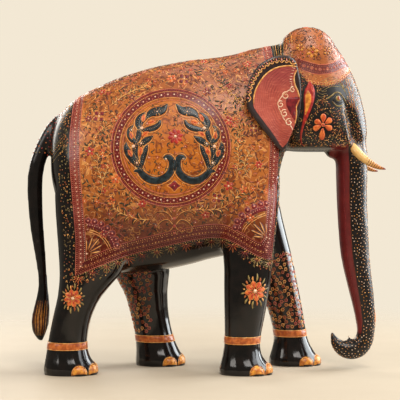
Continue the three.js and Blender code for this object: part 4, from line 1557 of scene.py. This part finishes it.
def paint_face(ground, cap):
    """Gilt curls and dots on the black cheeks and forehead, round the larger features."""
    for side in (RIGHT, LEFT):
        face = Brush("face", ground, side_canvas(ground, side))
        for paint_part in (paint_flame, paint_eye, paint_cheek_flower, paint_cap_flowers):
            paint_part(face)
        for shift in (0, 3):
            line = [(x - shift, z) for x, z in FOREHEAD_LINE]
            face.stroke("amber", line, 1.1, "line", 0.3)
    paint_cap(face, cap)
    rng = random.Random(31)
    x, y, z = ground.points.T
    on_face = (x > NECK_X + 3) & (z > 244) & (cap < -1.5) & (np.abs(y) > 9) & (x < 168)
    clear = far_from(ground.points, [CHEEK_FLOWER], 13) & far_from(ground.points, [EYE], 11)
    clear &= far_from(ground.points, [(112, 303), (112, 296), (110.5, 287)], 8.5)
    clear &= far_from(ground.points, [(107.5, 275), (104.5, 264), (104, 256)], 4.5)
    clear &= far_from(ground.points, [(130, 304), (137, 307), (145, 309), (152, 303), (124, 298)], 5)
    for spot in spots_where(ground, on_face & clear, 2.35, 32, 20000):
        local = face.turned(spot, rng)
        colour = rng.choice(("gilt", "olive", "copper", "gilt"))
        if rng.random() < 0.7:
            arc = [(-1.2, -0.7), (-0.3, 1.0), (1.1, 0.6), (0.9, -0.6)]
            local.stroke(colour, arc, 0.95, "comma", 0.4, 0.9)
        else:
            local.dot(colour, 0, 0, 0.55)
    bare = (x > 140) & (z > 244) & (z < 330) & (cap < -1.5) & ((np.abs(y) <= 9) | (x >= 168))
    for spot in spots_where(ground, bare, 2.5, 33, 8000):
        face.bead(rng.choice(("amber", "gilt", "cream")), spot, 0.58)


def paint_nape(ground):
    """Thin olive lines over the neck between the saddle cloth and the cap."""
    face = Brush("face", ground)
    for number in range(8):
        x_nape = 75.5 + 2.6 * number
        spots = []
        for angle in range(-60, 61, 2):
            out = Vector((0, math.sin(math.radians(angle)), math.cos(math.radians(angle))))
            wave = 0.7 * math.sin(angle * 0.35 + number)
            spots.append(ground.along(Vector((x_nape + wave, 0, MIDDLE_Z)) + out * 200, -out))
        face.ribbon(("olive", "gilt")[number % 2], spots, [1.1] * len(spots), 0.4)


# ---------------------------------------------------------------- ears

EAR_FIELD = [(52, 284), (52, 294.5), (54.7, 304), (60, 313), (66, 320), (74.5, 325.5), (83, 328), (91, 328.5),
             (98, 327), (95.5, 317), (96.5, 308.5), (99.5, 302.5), (102, 293), (98.5, 284.5), (98.5, 276),
             (96.5, 266.5), (94, 258.5), (88, 246.5), (83, 241.5), (75, 253), (64, 267.5)]
EAR_HOLLOW = [(88, 295), (101, 295.5), (98.5, 288), (97.2, 280.5), (97.2, 268), (93.5, 273.5), (88.5, 282),
              (86.5, 288)]
EAR_ARCH = [(52, 287), *EAR_FIELD[1:7], (91, 328.8), (99, 328)]
EAR_FRONT_LINE = [(98.5, 325), (95.5, 317.5), (96.5, 308.5), (99.3, 302.5), (101.2, 295)]
EAR_INNER_LINE = [(101.2, 293), (98, 286), (98.2, 277), (96.3, 266.5)]
EAR_TEETH = [(94.5, 326), (92.6, 320), (91.6, 314), (92, 309), (93, 305)]
EAR_CURLS = [(94, 303.5, 3.2), (86.5, 297, 4.4), (81, 287.6, 4.0), (85, 278, 4.4), (90, 268.6, 4.2)]
EAR_TAIL = [(91.5, 265.5), (93, 262.5), (94.8, 257.5)]
EAR_RIM = [(46, 289), (46.2, 297), (48.7, 307), (53.5, 316.5), (60, 325), (68.5, 331.5), (79, 334.5),
           (90, 334.2), (98, 332)]


def ear_material():
    """Pink-red field with rings of growth round its hinge, and a dark rim."""
    g = Graph("painted_ear")
    x, _, z = g.axes()
    dx = g.math("MULTIPLY", g.math("SUBTRACT", x, 99.0), 1.08)
    dz = g.math("SUBTRACT", z, 291.0)
    reach = g.math("SQRT", g.math("ADD", g.math("MULTIPLY", dx, dx), g.math("MULTIPLY", dz, dz)))
    wobbly = g.math("ADD", reach, g.math("MULTIPLY", g.noise(16, 3), 7.0))
    ring = g.math("FRACT", g.math("DIVIDE", wobbly, 2.6))
    dark_ring = g.rise(g.math("ABSOLUTE", g.math("SUBTRACT", ring, 0.5)), 0.2, 0.04)
    patchy = g.rise(g.noise(11, 3, 0, 30), 0.38, 0.62)
    field = g.mix(g.noise(13, 3), rgb(160, 62, 52), rgb(190, 96, 74))
    high_up = g.rise(z, 292, 322)
    field = g.mix(g.math("MULTIPLY", high_up, 0.5), field, rgb(128, 46, 60))
    low_down = g.rise(z, 275, 250)
    field = g.mix(g.math("MULTIPLY", low_down, 0.7), field, rgb(138, 52, 38))
    brushed = g.node("ShaderNodeVectorMath", {0: g.position, 1: (0.16, 0.16, 0.9)}, operation="MULTIPLY")
    bristles = g.node("ShaderNodeTexNoise", {"Vector": brushed.outputs[0], "Scale": 1.0, "Detail": 3})
    field = g.mix(g.math("MULTIPLY", g.rise(bristles.outputs[0], 0.5, 0.72), 0.45), field, rgb(212, 120, 96))
    rings_share = g.math("MULTIPLY", dark_ring, g.math("MULTIPLY_ADD", patchy, 0.45, 0.08))
    field = g.mix(rings_share, field, rgb(84, 22, 32))
    inside = g.rise(g.attribute("ear_field"), -0.25, 0.25)
    rim = g.mix(g.noise(7, 3), rgb(30, 22, 22), rgb(58, 40, 36))
    colour = g.mix(g.math("MULTIPLY", inside, g.attribute("outer_face")), rim, field)
    height = g.math("MULTIPLY", dark_ring, inside)
    normal = g.bump(height, 0.15, 0.4, g.bump(g.noise(2.5, 2), 0.05, 0.35))
    return g.finish(colour, g.math("MULTIPLY_ADD", g.noise(6, 3), 0.18, 0.24), normal)


def smooth_piece(name, voxel, rounds, look):
    """A CAD node as one smooth mesh of its own, in its paint."""
    mesh = remeshed(*cad_arrays(name), voxel)
    mesh.name = name + "_painted"
    set_points(mesh, faired(mesh, points_of(mesh), rounds))
    mesh.polygons.foreach_set("use_smooth", [True] * len(mesh.polygons))
    mesh.materials.append(look)
    return mesh


def paint_ear(name, side, look):
    """One ear with its painted lines."""
    mesh = smooth_piece(name, 1.2, 7, look)
    shaped, normals = points_of(mesh), normals_of(mesh)
    set_points(mesh, shaped - 0.3 * normals)
    field = signed_distance(shaped[:, [0, 2]], [tuple(p) for p in curve(EAR_FIELD, 5, closed=True)])
    store_values(mesh, "ear_field", field)
    store_values(mesh, "outer_face", np.clip(normals[:, 1] * side * 3, 0, 1))
    ground = Ground(mesh)
    ear = Brush("ear", ground, side_canvas(ground, side))
    ear.patch("maroon", curve(EAR_HOLLOW, 2, closed=True), 0.3, 2.0)
    ear.stroke("scarlet", EAR_HOLLOW[:4], 1.0, "line", 0.5)
    for line, width in ((EAR_ARCH, 1.9), (EAR_FRONT_LINE, 2.0), (EAR_INNER_LINE, 1.2)):
        ear.stroke("gilt", line, width, "line", 0.6, 1.4)
    ear.stroke("cream", [(x + 0.3, z) for x, z in EAR_FRONT_LINE], 0.7, "line", 0.9, 1.4)
    for x, z in curve(EAR_TEETH, 2.7)[:-1]:
        ear.stroke("cream", [(x + 1.6, z + 0.4), (x - 1.6, z + 0.9)], 1.1, "comma", 0.5, 1.0)
    for x, z, radius in EAR_CURLS:
        ear.stroke("cream", curl((x, z), radius, math.radians(60), 1.35, 0.18), 1.45, "line", 0.7, 1.0)
    joins = [(x - radius * 0.75, z + radius * 0.1) for x, z, radius in EAR_CURLS]
    for a, b in zip(joins, joins[1:]):
        bow = ((a[0] + b[0]) / 2 - 0.8, (a[1] + b[1]) / 2)
        ear.stroke("cream", [a, bow, b], 1.2, "line", 0.5, 1.2)
    ear.stroke("cream", EAR_TAIL, 1.3, "line", 0.5, 1.0)
    scallops = curve(EAR_RIM, 6.4)
    for (a, b), (c, d) in zip(scallops, scallops[1:]):
        along = np.array([c - a, d - b])
        inward = np.array([along[1], -along[0]]) / max(np.linalg.norm(along), 1e-6)
        middle = np.array([(a + c) / 2, (b + d) / 2])
        arch = [(a, b), tuple(middle + inward * 2.6), (c, d)]
        ear.stroke("gilt", arch, 1.4, "line", 0.5, 1.1)
        petal = [tuple(middle - inward * 2.2), tuple(middle), tuple(middle + inward * 1.2)]
        ear.stroke("rose", petal, 2.4, "petal", 0.4, 1.0)
        ear.dot("cream", *middle, 0.6, 0.7)
        ear.dot("gilt", *(np.array((a, b)) - inward * 1.8), 0.6)
    place(mesh, [name])


# ---------------------------------------------------------------- tusks

def tusk_material():
    """Ivory-gold, ringed with brown towards a red-brown point."""
    g = Graph("painted_tusk")
    x, _, z = g.axes()
    base = g.mix(g.noise(5, 3), rgb(214, 164, 92), rgb(234, 194, 126))
    base = g.mix(g.rise(x, 172, 190), base, rgb(196, 128, 62))
    base = g.mix(g.rise(x, 190, 195), base, rgb(130, 42, 34))
    along = g.math("ADD", g.math("MULTIPLY", x, 0.86), g.math("MULTIPLY", z, -0.5))
    ring = g.math("ABSOLUTE", g.math("SUBTRACT", g.math("FRACT", g.math("DIVIDE", along, 2.5)), 0.5))
    ringed = g.math("MULTIPLY", g.rise(ring, 0.2, 0.1), g.rise(x, 174, 178))
    colour = g.mix(ringed, base, rgb(112, 56, 30))
    normal = g.bump(ringed, 0.15, 0.5, g.bump(g.noise(1.5, 2), 0.04, 0.3))
    return g.finish(colour, g.math("MULTIPLY_ADD", g.noise(3, 2), 0.15, 0.24), normal)


# ---------------------------------------------------------------- legs, trunk, tail and rump

BRACELET_Z = {"hind": 31, "front": 37}
BRACELET_WIDTH = 8.2
BRACELET_LINES = [(-3.6, 1.0, "gilt"), (3.6, 1.0, "gilt"), (1.5, 0.45, "umber"), (-1.5, 0.45, "umber")]
# The toenails: degrees round the foot from straight ahead, width, height.
TOENAILS = ((-64, 17.5, 10), (-21, 18.5, 11), (21, 18.5, 11), (64, 17.5, 10))


def side_of(name):
    return RIGHT if name.endswith("right") else LEFT


def leg_slice(ground, name, z, thick=2.5):
    """The middle and half sizes of a leg at a height."""
    p = ground.points
    left, right = low(name) - 2, high(name) + 2
    near = (np.abs(p[:, 2] - z) < thick) & (p[:, 0] > left[0]) & (p[:, 0] < right[0])
    near &= (p[:, 1] * side_of(name) > 0)
    own = p[near]
    return (own.min(0) + own.max(0)) / 2, (own.max(0) - own.min(0)) / 2


def foot_canvas(ground, middle, radius):
    """Draws round an upright leg: mm round it from straight ahead, and height."""
    def spot_at(a, b):
        out = Vector((math.cos(a / radius), math.sin(a / radius), 0))
        return ground.along(Vector((middle[0], middle[1], b)) + out * (radius + 14), -out)
    return spot_at


def paint_bracelet(ground, name):
    z = BRACELET_Z["hind" if "hind" in name else "front"]
    middle, half = leg_slice(ground, name, z)
    radius = float(half[:2].mean())
    leg = Brush("leg", ground, foot_canvas(ground, middle, radius))
    around = 2 * math.pi * radius

    def loop(shift):
        return [leg.canvas(around * k / 60, z + shift + 0.5 * math.sin(2 * math.pi * k / 60))
                for k in range(60)]

    leg.ribbon("copper", loop(0), [BRACELET_WIDTH] * 60, 0.5, True, True)
    for shift, width, colour in BRACELET_LINES:
        leg.ribbon(colour, loop(shift), [width] * 60, 0.75, True)


def paint_toenails(ground, name):
    middle, half = leg_slice(ground, name, 4, 3.5)
    radius = float(half[:2].mean())
    leg = Brush("leg", ground, foot_canvas(ground, middle, radius))
    for degrees, width, height in TOENAILS:
        centre = math.radians(degrees) * radius
        turns = [math.pi * k / 10 for k in range(11)]
        arch = [(centre + width / 2 * math.cos(turn), 0.8 + height * math.sin(turn) ** 0.8) for turn in turns]
        leg.patch("amber", arch, 0.35, 1.8)
        leg.stroke("gilt", arch, 1.0, "line", 0.55, 1.4)
        leg.stroke("umber", [(a, b + 1.4) for a, b in arch[1:-1]], 0.5, "line", 0.3, 1.4)
        for share in (-0.25, 0.05, 0.3):
            streak = [(centre + width * share, 1.8), (centre + width * share * 0.8, height * 0.72)]
            leg.stroke("umber", streak, 0.9, "leaf", 0.5, 1.4)


def paint_leg_flower(leg, centre, radius):
    """A red and orange flower wreathed with olive leaves."""
    cx, cz = centre
    leg.flower("orange", "cream", centre, radius, 8, 0.2, 0.56, bend=True)
    for k in range(8):
        angle = 0.2 + 2 * math.pi * k / 8
        vein = [polar(centre, angle, radius * r) for r in (0.25, 0.72)]
        leg.stroke("scarlet", vein, 3.3, "leaf", 0.6, 1.1)
        for lean in (-0.27, 0.27):
            edge = [vein[0], polar(centre, angle, radius * 0.7, radius * lean), polar(centre, angle, radius)]
            leg.stroke("gilt", edge, 0.55, "line", 0.55, 1.2)
    for k in range(20):
        angle = math.pi * (k + 0.5) / 10
        c, s = math.cos(angle), math.sin(angle)
        reach = (1.0, 0.84)[k % 2]
        root = (cx + c * radius * 0.95, cz + s * radius * 0.95)
        tip = (cx + c * radius * 1.38 * reach, cz + s * radius * 1.72 * reach)
        bow = ((root[0] + tip[0]) / 2 + 0.7 * abs(s) * (1 if c > 0 else -1), (root[1] + tip[1]) / 2)
        leg.stroke(("olive", "gilt", "olive", "copper")[k % 4], [root, bow, tip], 2.5, "leaf", 0.4, 1.2)
    for at in ring_of(2.3, 7, centre=centre):
        leg.dot("gilt", *at, 0.6, 0.9)


LEG_FLOWERS = [((-139, 82), 9.6), ((53, 89.5), 11)]


def paint_inner_legs(ground):
    """Rings of copper, gilt or rose, each with a scarlet and a gilt dot, all over the inner faces of the
    legs.
    """
    leg, rng = Brush("leg", ground), random.Random(41)
    x, y, z = ground.points.T
    inward = ground.normals[:, 1] * np.sign(y) < -0.25
    bracelet = np.where(x < SHOULDER_X, BRACELET_Z["hind"], BRACELET_Z["front"])
    rear_leg = (x > -168) & (x < -60) & (z < 118)
    front_leg = (x > 15) & (x < 132) & (z < 128)
    mask = inward & (rear_leg | front_leg) & (z > bracelet + 7) & (np.abs(y) > 6)
    for spot in spots_where(ground, mask, 4.5, 42, 12000):
        leg.hoop(rng.choice(("copper", "gilt", "rose")), spot, 1.7, 0.95, 0.5)
        local = leg.turned(spot, rng)
        local.dot("scarlet", 0, 0, 0.6)
        local.dot("gilt", 2.7, 0, 0.45)


def paint_florets(leg):
    """Half rosettes and dots on the black just below the saddle cloth."""
    travelled, last, number = 9.0, None, 0
    for x, z in curve(cloth_runs(-0.2)[1], 3):
        point = leg.canvas(x, z)[0]
        travelled += 0 if last is None else (point - last).length
        last = point
        if travelled < 13.5:
            continue
        travelled, number = 0.0, number + 1
        colour = ("olive", "copper", "umber", "olive")[number % 4]
        leg.fan(colour, (x, z), 8.6, 7, -math.pi / 2, math.pi * 1.05, 0.22)
        leg.fan("scarlet", (x, z), 5.0, 5, -math.pi / 2, math.pi * 0.8, 0.22)
        leg.dot("gilt", x, z, 0.8)
        for lean in (-1, 1):
            hook = curl((x + lean * 7.2, z - 2.2), 1.9, math.pi / 2, 0.8 * lean)
            leg.stroke("olive", hook, 0.75, "comma", 0.35, 1.0)
    for share, gap, colour in ((-0.07, 2.6, "gilt"), (-0.62, 5.2, "umber")):
        for spot in along_spots(leg.spots(cloth_runs(share)[1], 2), gap):
            leg.bead(colour, spot, 0.5)


def paint_selvage(ground, cloth):
    """Leaves and dots on the black beside the upright borders of the cloth."""
    leg, rng = Brush("leg", ground), random.Random(51)
    x, y, z = ground.points.T
    rear = (cloth < -1.5) & (cloth > -13) & (x < -128) & (z > 100)
    front = (cloth < -1) & (cloth > -8) & (x > 66) & (z > 120) & (z < 330)
    corners = (cloth < -1.5) & (cloth > -12) & (z < 125) & (np.abs(ground.normals[:, 1]) > 0.4)
    beside = (rear | front | (corners & (np.abs(x + 30) > 70))) & (np.abs(y) > 14)
    for spot in spots_where(ground, beside, 3.4, 52, 12000):
        local = leg.turned(spot, rng)
        colour = rng.choice(("olive", "copper", "olive", "gilt"))
        if rng.random() < 0.6:
            for lean in (-0.6, 0.6):
                leaf = [(0, 0), polar((0.4, 0), lean, 1.3), polar((0, 0), lean, 2.6)]
                local.stroke(colour, leaf, 1.1, "leaf", 0.35, 0.9)
        else:
            local.dot(colour, 0, 0, 0.65)


CRUPPER = [((-166, 238), (-147.5, 257.5)), ((-165, 231), (-146.5, 250.5)), ((-164.5, 226), (-146, 244.5))]


def paint_crupper(tail):
    """The strap that runs over the rump to the root of the tail."""
    for start, end in CRUPPER:
        tail.stroke("olive", [start, end], 0.9, "line", 0.3)
    (a, b), (c, d) = CRUPPER[0], CRUPPER[1]
    for k in range(9):
        t = (k + 0.5) / 9
        first = (a[0] + (b[0] - a[0]) * t, a[1] + (b[1] - a[1]) * t)
        second = (c[0] + (d[0] - c[0]) * t, c[1] + (d[1] - c[1]) * t)
        tail.dot("amber", (first[0] + second[0]) / 2, (first[1] + second[1]) / 2, 0.7)
        tail.dot("olive", first[0] - 0.8, first[1] + 2.4, 0.45)


def paint_tail(ground):
    """Brushed gold on the tuft, and dots at the root."""
    p = ground.points
    rng = random.Random(61)
    for side in (RIGHT, LEFT):
        tail = Brush("tail", ground, side_canvas(ground, side))
        rows = []
        for z in (76, 66, 56, 46, 37):
            own = p[(np.abs(p[:, 2] - z) < 2) & (p[:, 0] < -165) & (np.abs(p[:, 1]) < 13)]
            rows.append((z, own[:, 0].min(), own[:, 0].max()))
        for number in range(15):
            share = 0.07 + 0.86 * number / 14
            line = [(a + (b - a) * (share + 0.03 * math.sin(z)), z) for z, a, b in rows]
            line = line[rng.choice((0, 0, 1)):]
            colour = rng.choice(("amber", "umber", "umber", "gilt"))
            tail.stroke(colour, line, 0.9, "leaf", 0.35, 1.6)
    x, y, z = p.T
    root = (x < -150) & (z > 236) & (np.abs(y) < 16)
    for spot in spots_where(ground, root, 4.2, 62, 3000):
        tail.bead(rng.choice(("scarlet", "orange", "olive")), spot, 0.8)


def paint_trunk(ground, behind):
    """Gilt grains down both sides of the trunk, made paler on its front as a painted sheen, an umber line
    beside its maroon stripe and a painted sheen line within it.
    """
    trunk, rng = Brush("trunk", ground), random.Random(71)
    x, _, z = ground.points.T
    mask = (x > 137) & (z > 12) & (z < 246) & ((behind < 3.2) | (z < 38))
    for spot in spots_where(ground, mask, 2.7, 72, 26000):
        # the grains on the forward face are mostly cream: real dots, made paler there as a painted sheen
        painted_sheen_front = spot[1].x > 0.25
        colour = rng.choice(("cream", "gilt", "cream") if painted_sheen_front else ("gilt", "amber", "cream"))
        if rng.random() < 0.5:
            trunk.bead(colour, spot, rng.uniform(0.5, 0.7))
        else:
            local = trunk.turned(spot, rng)
            local.stroke(colour, [(-1, 0), (0, 0.4), (1, 0)], 0.95, "leaf", 0.4, 0.8)
    mark = trunk.at(ground.along(Vector((300, 0, 56)), Vector((-1, 0, 0))))
    mark.stroke("amber", [(-10, 0), (0, 0), (10, 0)], 7, "leaf", 0.5, 1.4, bend=True)
    mark.stroke("orange", [(-6, 0), (7, 0)], 1.6, "leaf", 0.8, 1.4)
    heights = np.arange(46, 236, 4.0)
    for side in (RIGHT, LEFT):
        trunk = Brush("trunk", ground, side_canvas(ground, side))
        line = [(float(np.interp(h, TRUNK_LINE_Z, TRUNK_LINE_X)) - 4.6, float(h)) for h in heights]
        trunk.stroke("umber", line, 0.9, "line", 0.3)
        # a maroon line a little lighter than the stripe it lies in: a painted sheen
        painted_sheen_line = [(a - 5.5 + 0.4 * math.sin(h * 0.2), h) for a, h in line]
        trunk.stroke("maroon", painted_sheen_line, 1.0, "line", 0.2)


# ---------------------------------------------------------------- stage

def area_light(name, place_at, aim, size, power, colour=(1, 1, 1)):
    lamp = bpy.data.lights.new(name, "AREA")
    lamp.shape = "RECTANGLE"
    lamp.size, lamp.size_y = size
    lamp.energy = power
    lamp.color = colour
    light = bpy.data.objects.new(name, lamp)
    light.location = place_at
    light.visible_camera = False
    light.rotation_euler = (Vector(aim) - Vector(place_at)).to_track_quat("-Z", "Y").to_euler()
    bpy.context.scene.collection.objects.link(light)


BACKDROP = rgb(243, 232, 212)
AMBIENT = 0.26  # how strongly the backdrop lights the scene, where the camera sees it at 1


def make_lights():
    middle = (0, 0, 0.2)
    area_light("window", (2.0, 0.8, 1.2), middle, (1.9, 2.2), 120, (0.92, 0.97, 1))
    area_light("side_window", (2.3, -0.75, 1.3), middle, (0.9, 1.7), 27, (0.95, 0.98, 1))
    area_light("ceiling", (0.2, 0.1, 2.3), middle, (1.6, 1.0), 12, (1, 0.96, 0.9))
    area_light("lamp", (0.36, -0.95, 2.1), middle, (0.28, 0.28), 12, (1, 0.97, 0.92))
    area_light("rear_window", (-1.15, 2.0, 1.0), middle, (1.6, 1.0), 26, (1, 0.95, 0.88))
    area_light("left_fill", (-2.0, -1.3, 1.5), middle, (1.2, 1.2), 29, (1, 0.95, 0.88))
    area_light("front_fill", (0.5, -1.9, 1.9), middle, (1.2, 0.9), 28, (1, 0.95, 0.9))
    world = bpy.data.worlds.new("studio")
    bpy.context.scene.world = world
    world.use_nodes = True
    tree = world.node_tree
    background = tree.nodes["Background"]
    background.inputs["Color"].default_value = BACKDROP
    rays = tree.nodes.new("ShaderNodeLightPath")
    strength = tree.nodes.new("ShaderNodeMapRange")
    strength.inputs["To Min"].default_value = AMBIENT
    tree.links.new(rays.outputs["Is Camera Ray"], strength.inputs["Value"])
    tree.links.new(strength.outputs["Result"], background.inputs["Strength"])


def floor_material():
    """Pale and plain; far out it fades away into the backdrop."""
    g = Graph("pale_floor")
    x, y, _ = g.axes()
    reach = g.math("SQRT", g.math("ADD", g.math("MULTIPLY", x, x), g.math("MULTIPLY", y, y)))
    colour = g.mix(g.noise(60, 4), rgb(176, 162, 141), rgb(184, 170, 149))
    shader = g.node("ShaderNodeBsdfPrincipled", {"Base Color": colour, "Roughness": 0.6})
    clear = g.node("ShaderNodeBsdfTransparent", {})
    share = g.rise(reach, 300, 1100)
    blend = g.node("ShaderNodeMixShader", {0: share, 1: shader.outputs[0], 2: clear.outputs[0]})
    output = g.tree.nodes.new("ShaderNodeOutputMaterial")
    g.tree.links.new(blend.outputs[0], output.inputs[0])
    return g.material


def make_floor():
    rings, sides = (0, 500, 1000, 1600), 48
    points = [(0, 0, 0)]
    for radius in rings[1:]:
        points += [(*at, 0) for at in ring_of(radius, sides)]
    faces = [(0, 1 + k, 1 + (k + 1) % sides) for k in range(sides)]
    for ring in range(len(rings) - 2):
        first = 1 + ring * sides
        faces += [(first + k, first + sides + k, first + sides + (k + 1) % sides, first + (k + 1) % sides)
                  for k in range(sides)]
    floor = bpy.data.objects.new("floor", mesh_of("floor", np.array(points, float), faces))
    floor.data.materials.append(floor_material())
    bpy.context.scene.collection.objects.link(floor)


CAMERA_DISTANCE = 1400
CAMERA_HEIGHT = 164.5
CAMERA_X = -4.94
FOCAL_SHARE = 3.1675  # focal length over the width of the picture
HORIZON_SHIFT = 0.05


def make_camera():
    data = bpy.data.cameras.new("camera")
    data.sensor_width = 36
    data.lens = data.sensor_width * FOCAL_SHARE
    data.shift_y = HORIZON_SHIFT
    camera = bpy.data.objects.new("camera", data)
    camera.location = np.array([CAMERA_X, -CAMERA_DISTANCE, CAMERA_HEIGHT]) * MM
    camera.rotation_euler = (math.radians(90), 0, 0)
    bpy.context.scene.collection.objects.link(camera)
    bpy.context.scene.camera = camera


# ---------------------------------------------------------------- the whole statuette

SKIN = united_skin()
zones = paint_zones(SKIN)
BODY_PAINT = body_material()
for name, mesh in cut_into_blocks(SKIN).items():
    use_skin_normals(mesh)
    mesh.materials.append(BODY_PAINT)
    place(mesh, [name])

body = Ground(SKIN)
paint_borders(body)
for side in (RIGHT, LEFT):
    paint_medallion(Brush("cloth", body, side_canvas(body, side)))
paint_field(body, zones["field"])
paint_face(body, zones["cap"])
paint_nape(body)
ear_look, tusk_look = ear_material(), tusk_material()
for ear, tusk, side in zip(EARS, TUSKS, (RIGHT, LEFT)):
    paint_ear(ear, side, ear_look)
    place(smooth_piece(tusk, 0.75, 5, tusk_look), [tusk])
for leg in LEGS:
    paint_bracelet(body, leg)
    paint_toenails(body, leg)
for side in (RIGHT, LEFT):
    canvas = side_canvas(body, side)
    leg = Brush("leg", body, canvas)
    for centre, radius in LEG_FLOWERS:
        paint_leg_flower(leg, centre, radius)
    paint_florets(leg)
    paint_crupper(Brush("tail", body, canvas))
paint_inner_legs(body)
paint_selvage(body, zones["cloth"])
paint_tail(body)
paint_trunk(body, zones["behind_trunk"])
for paint in POTS.values():
    paint.lay()

cover_dowels(wood_material())
make_camera()
make_lights()
make_floor()
bpy.context.scene.view_settings.view_transform = "Standard"
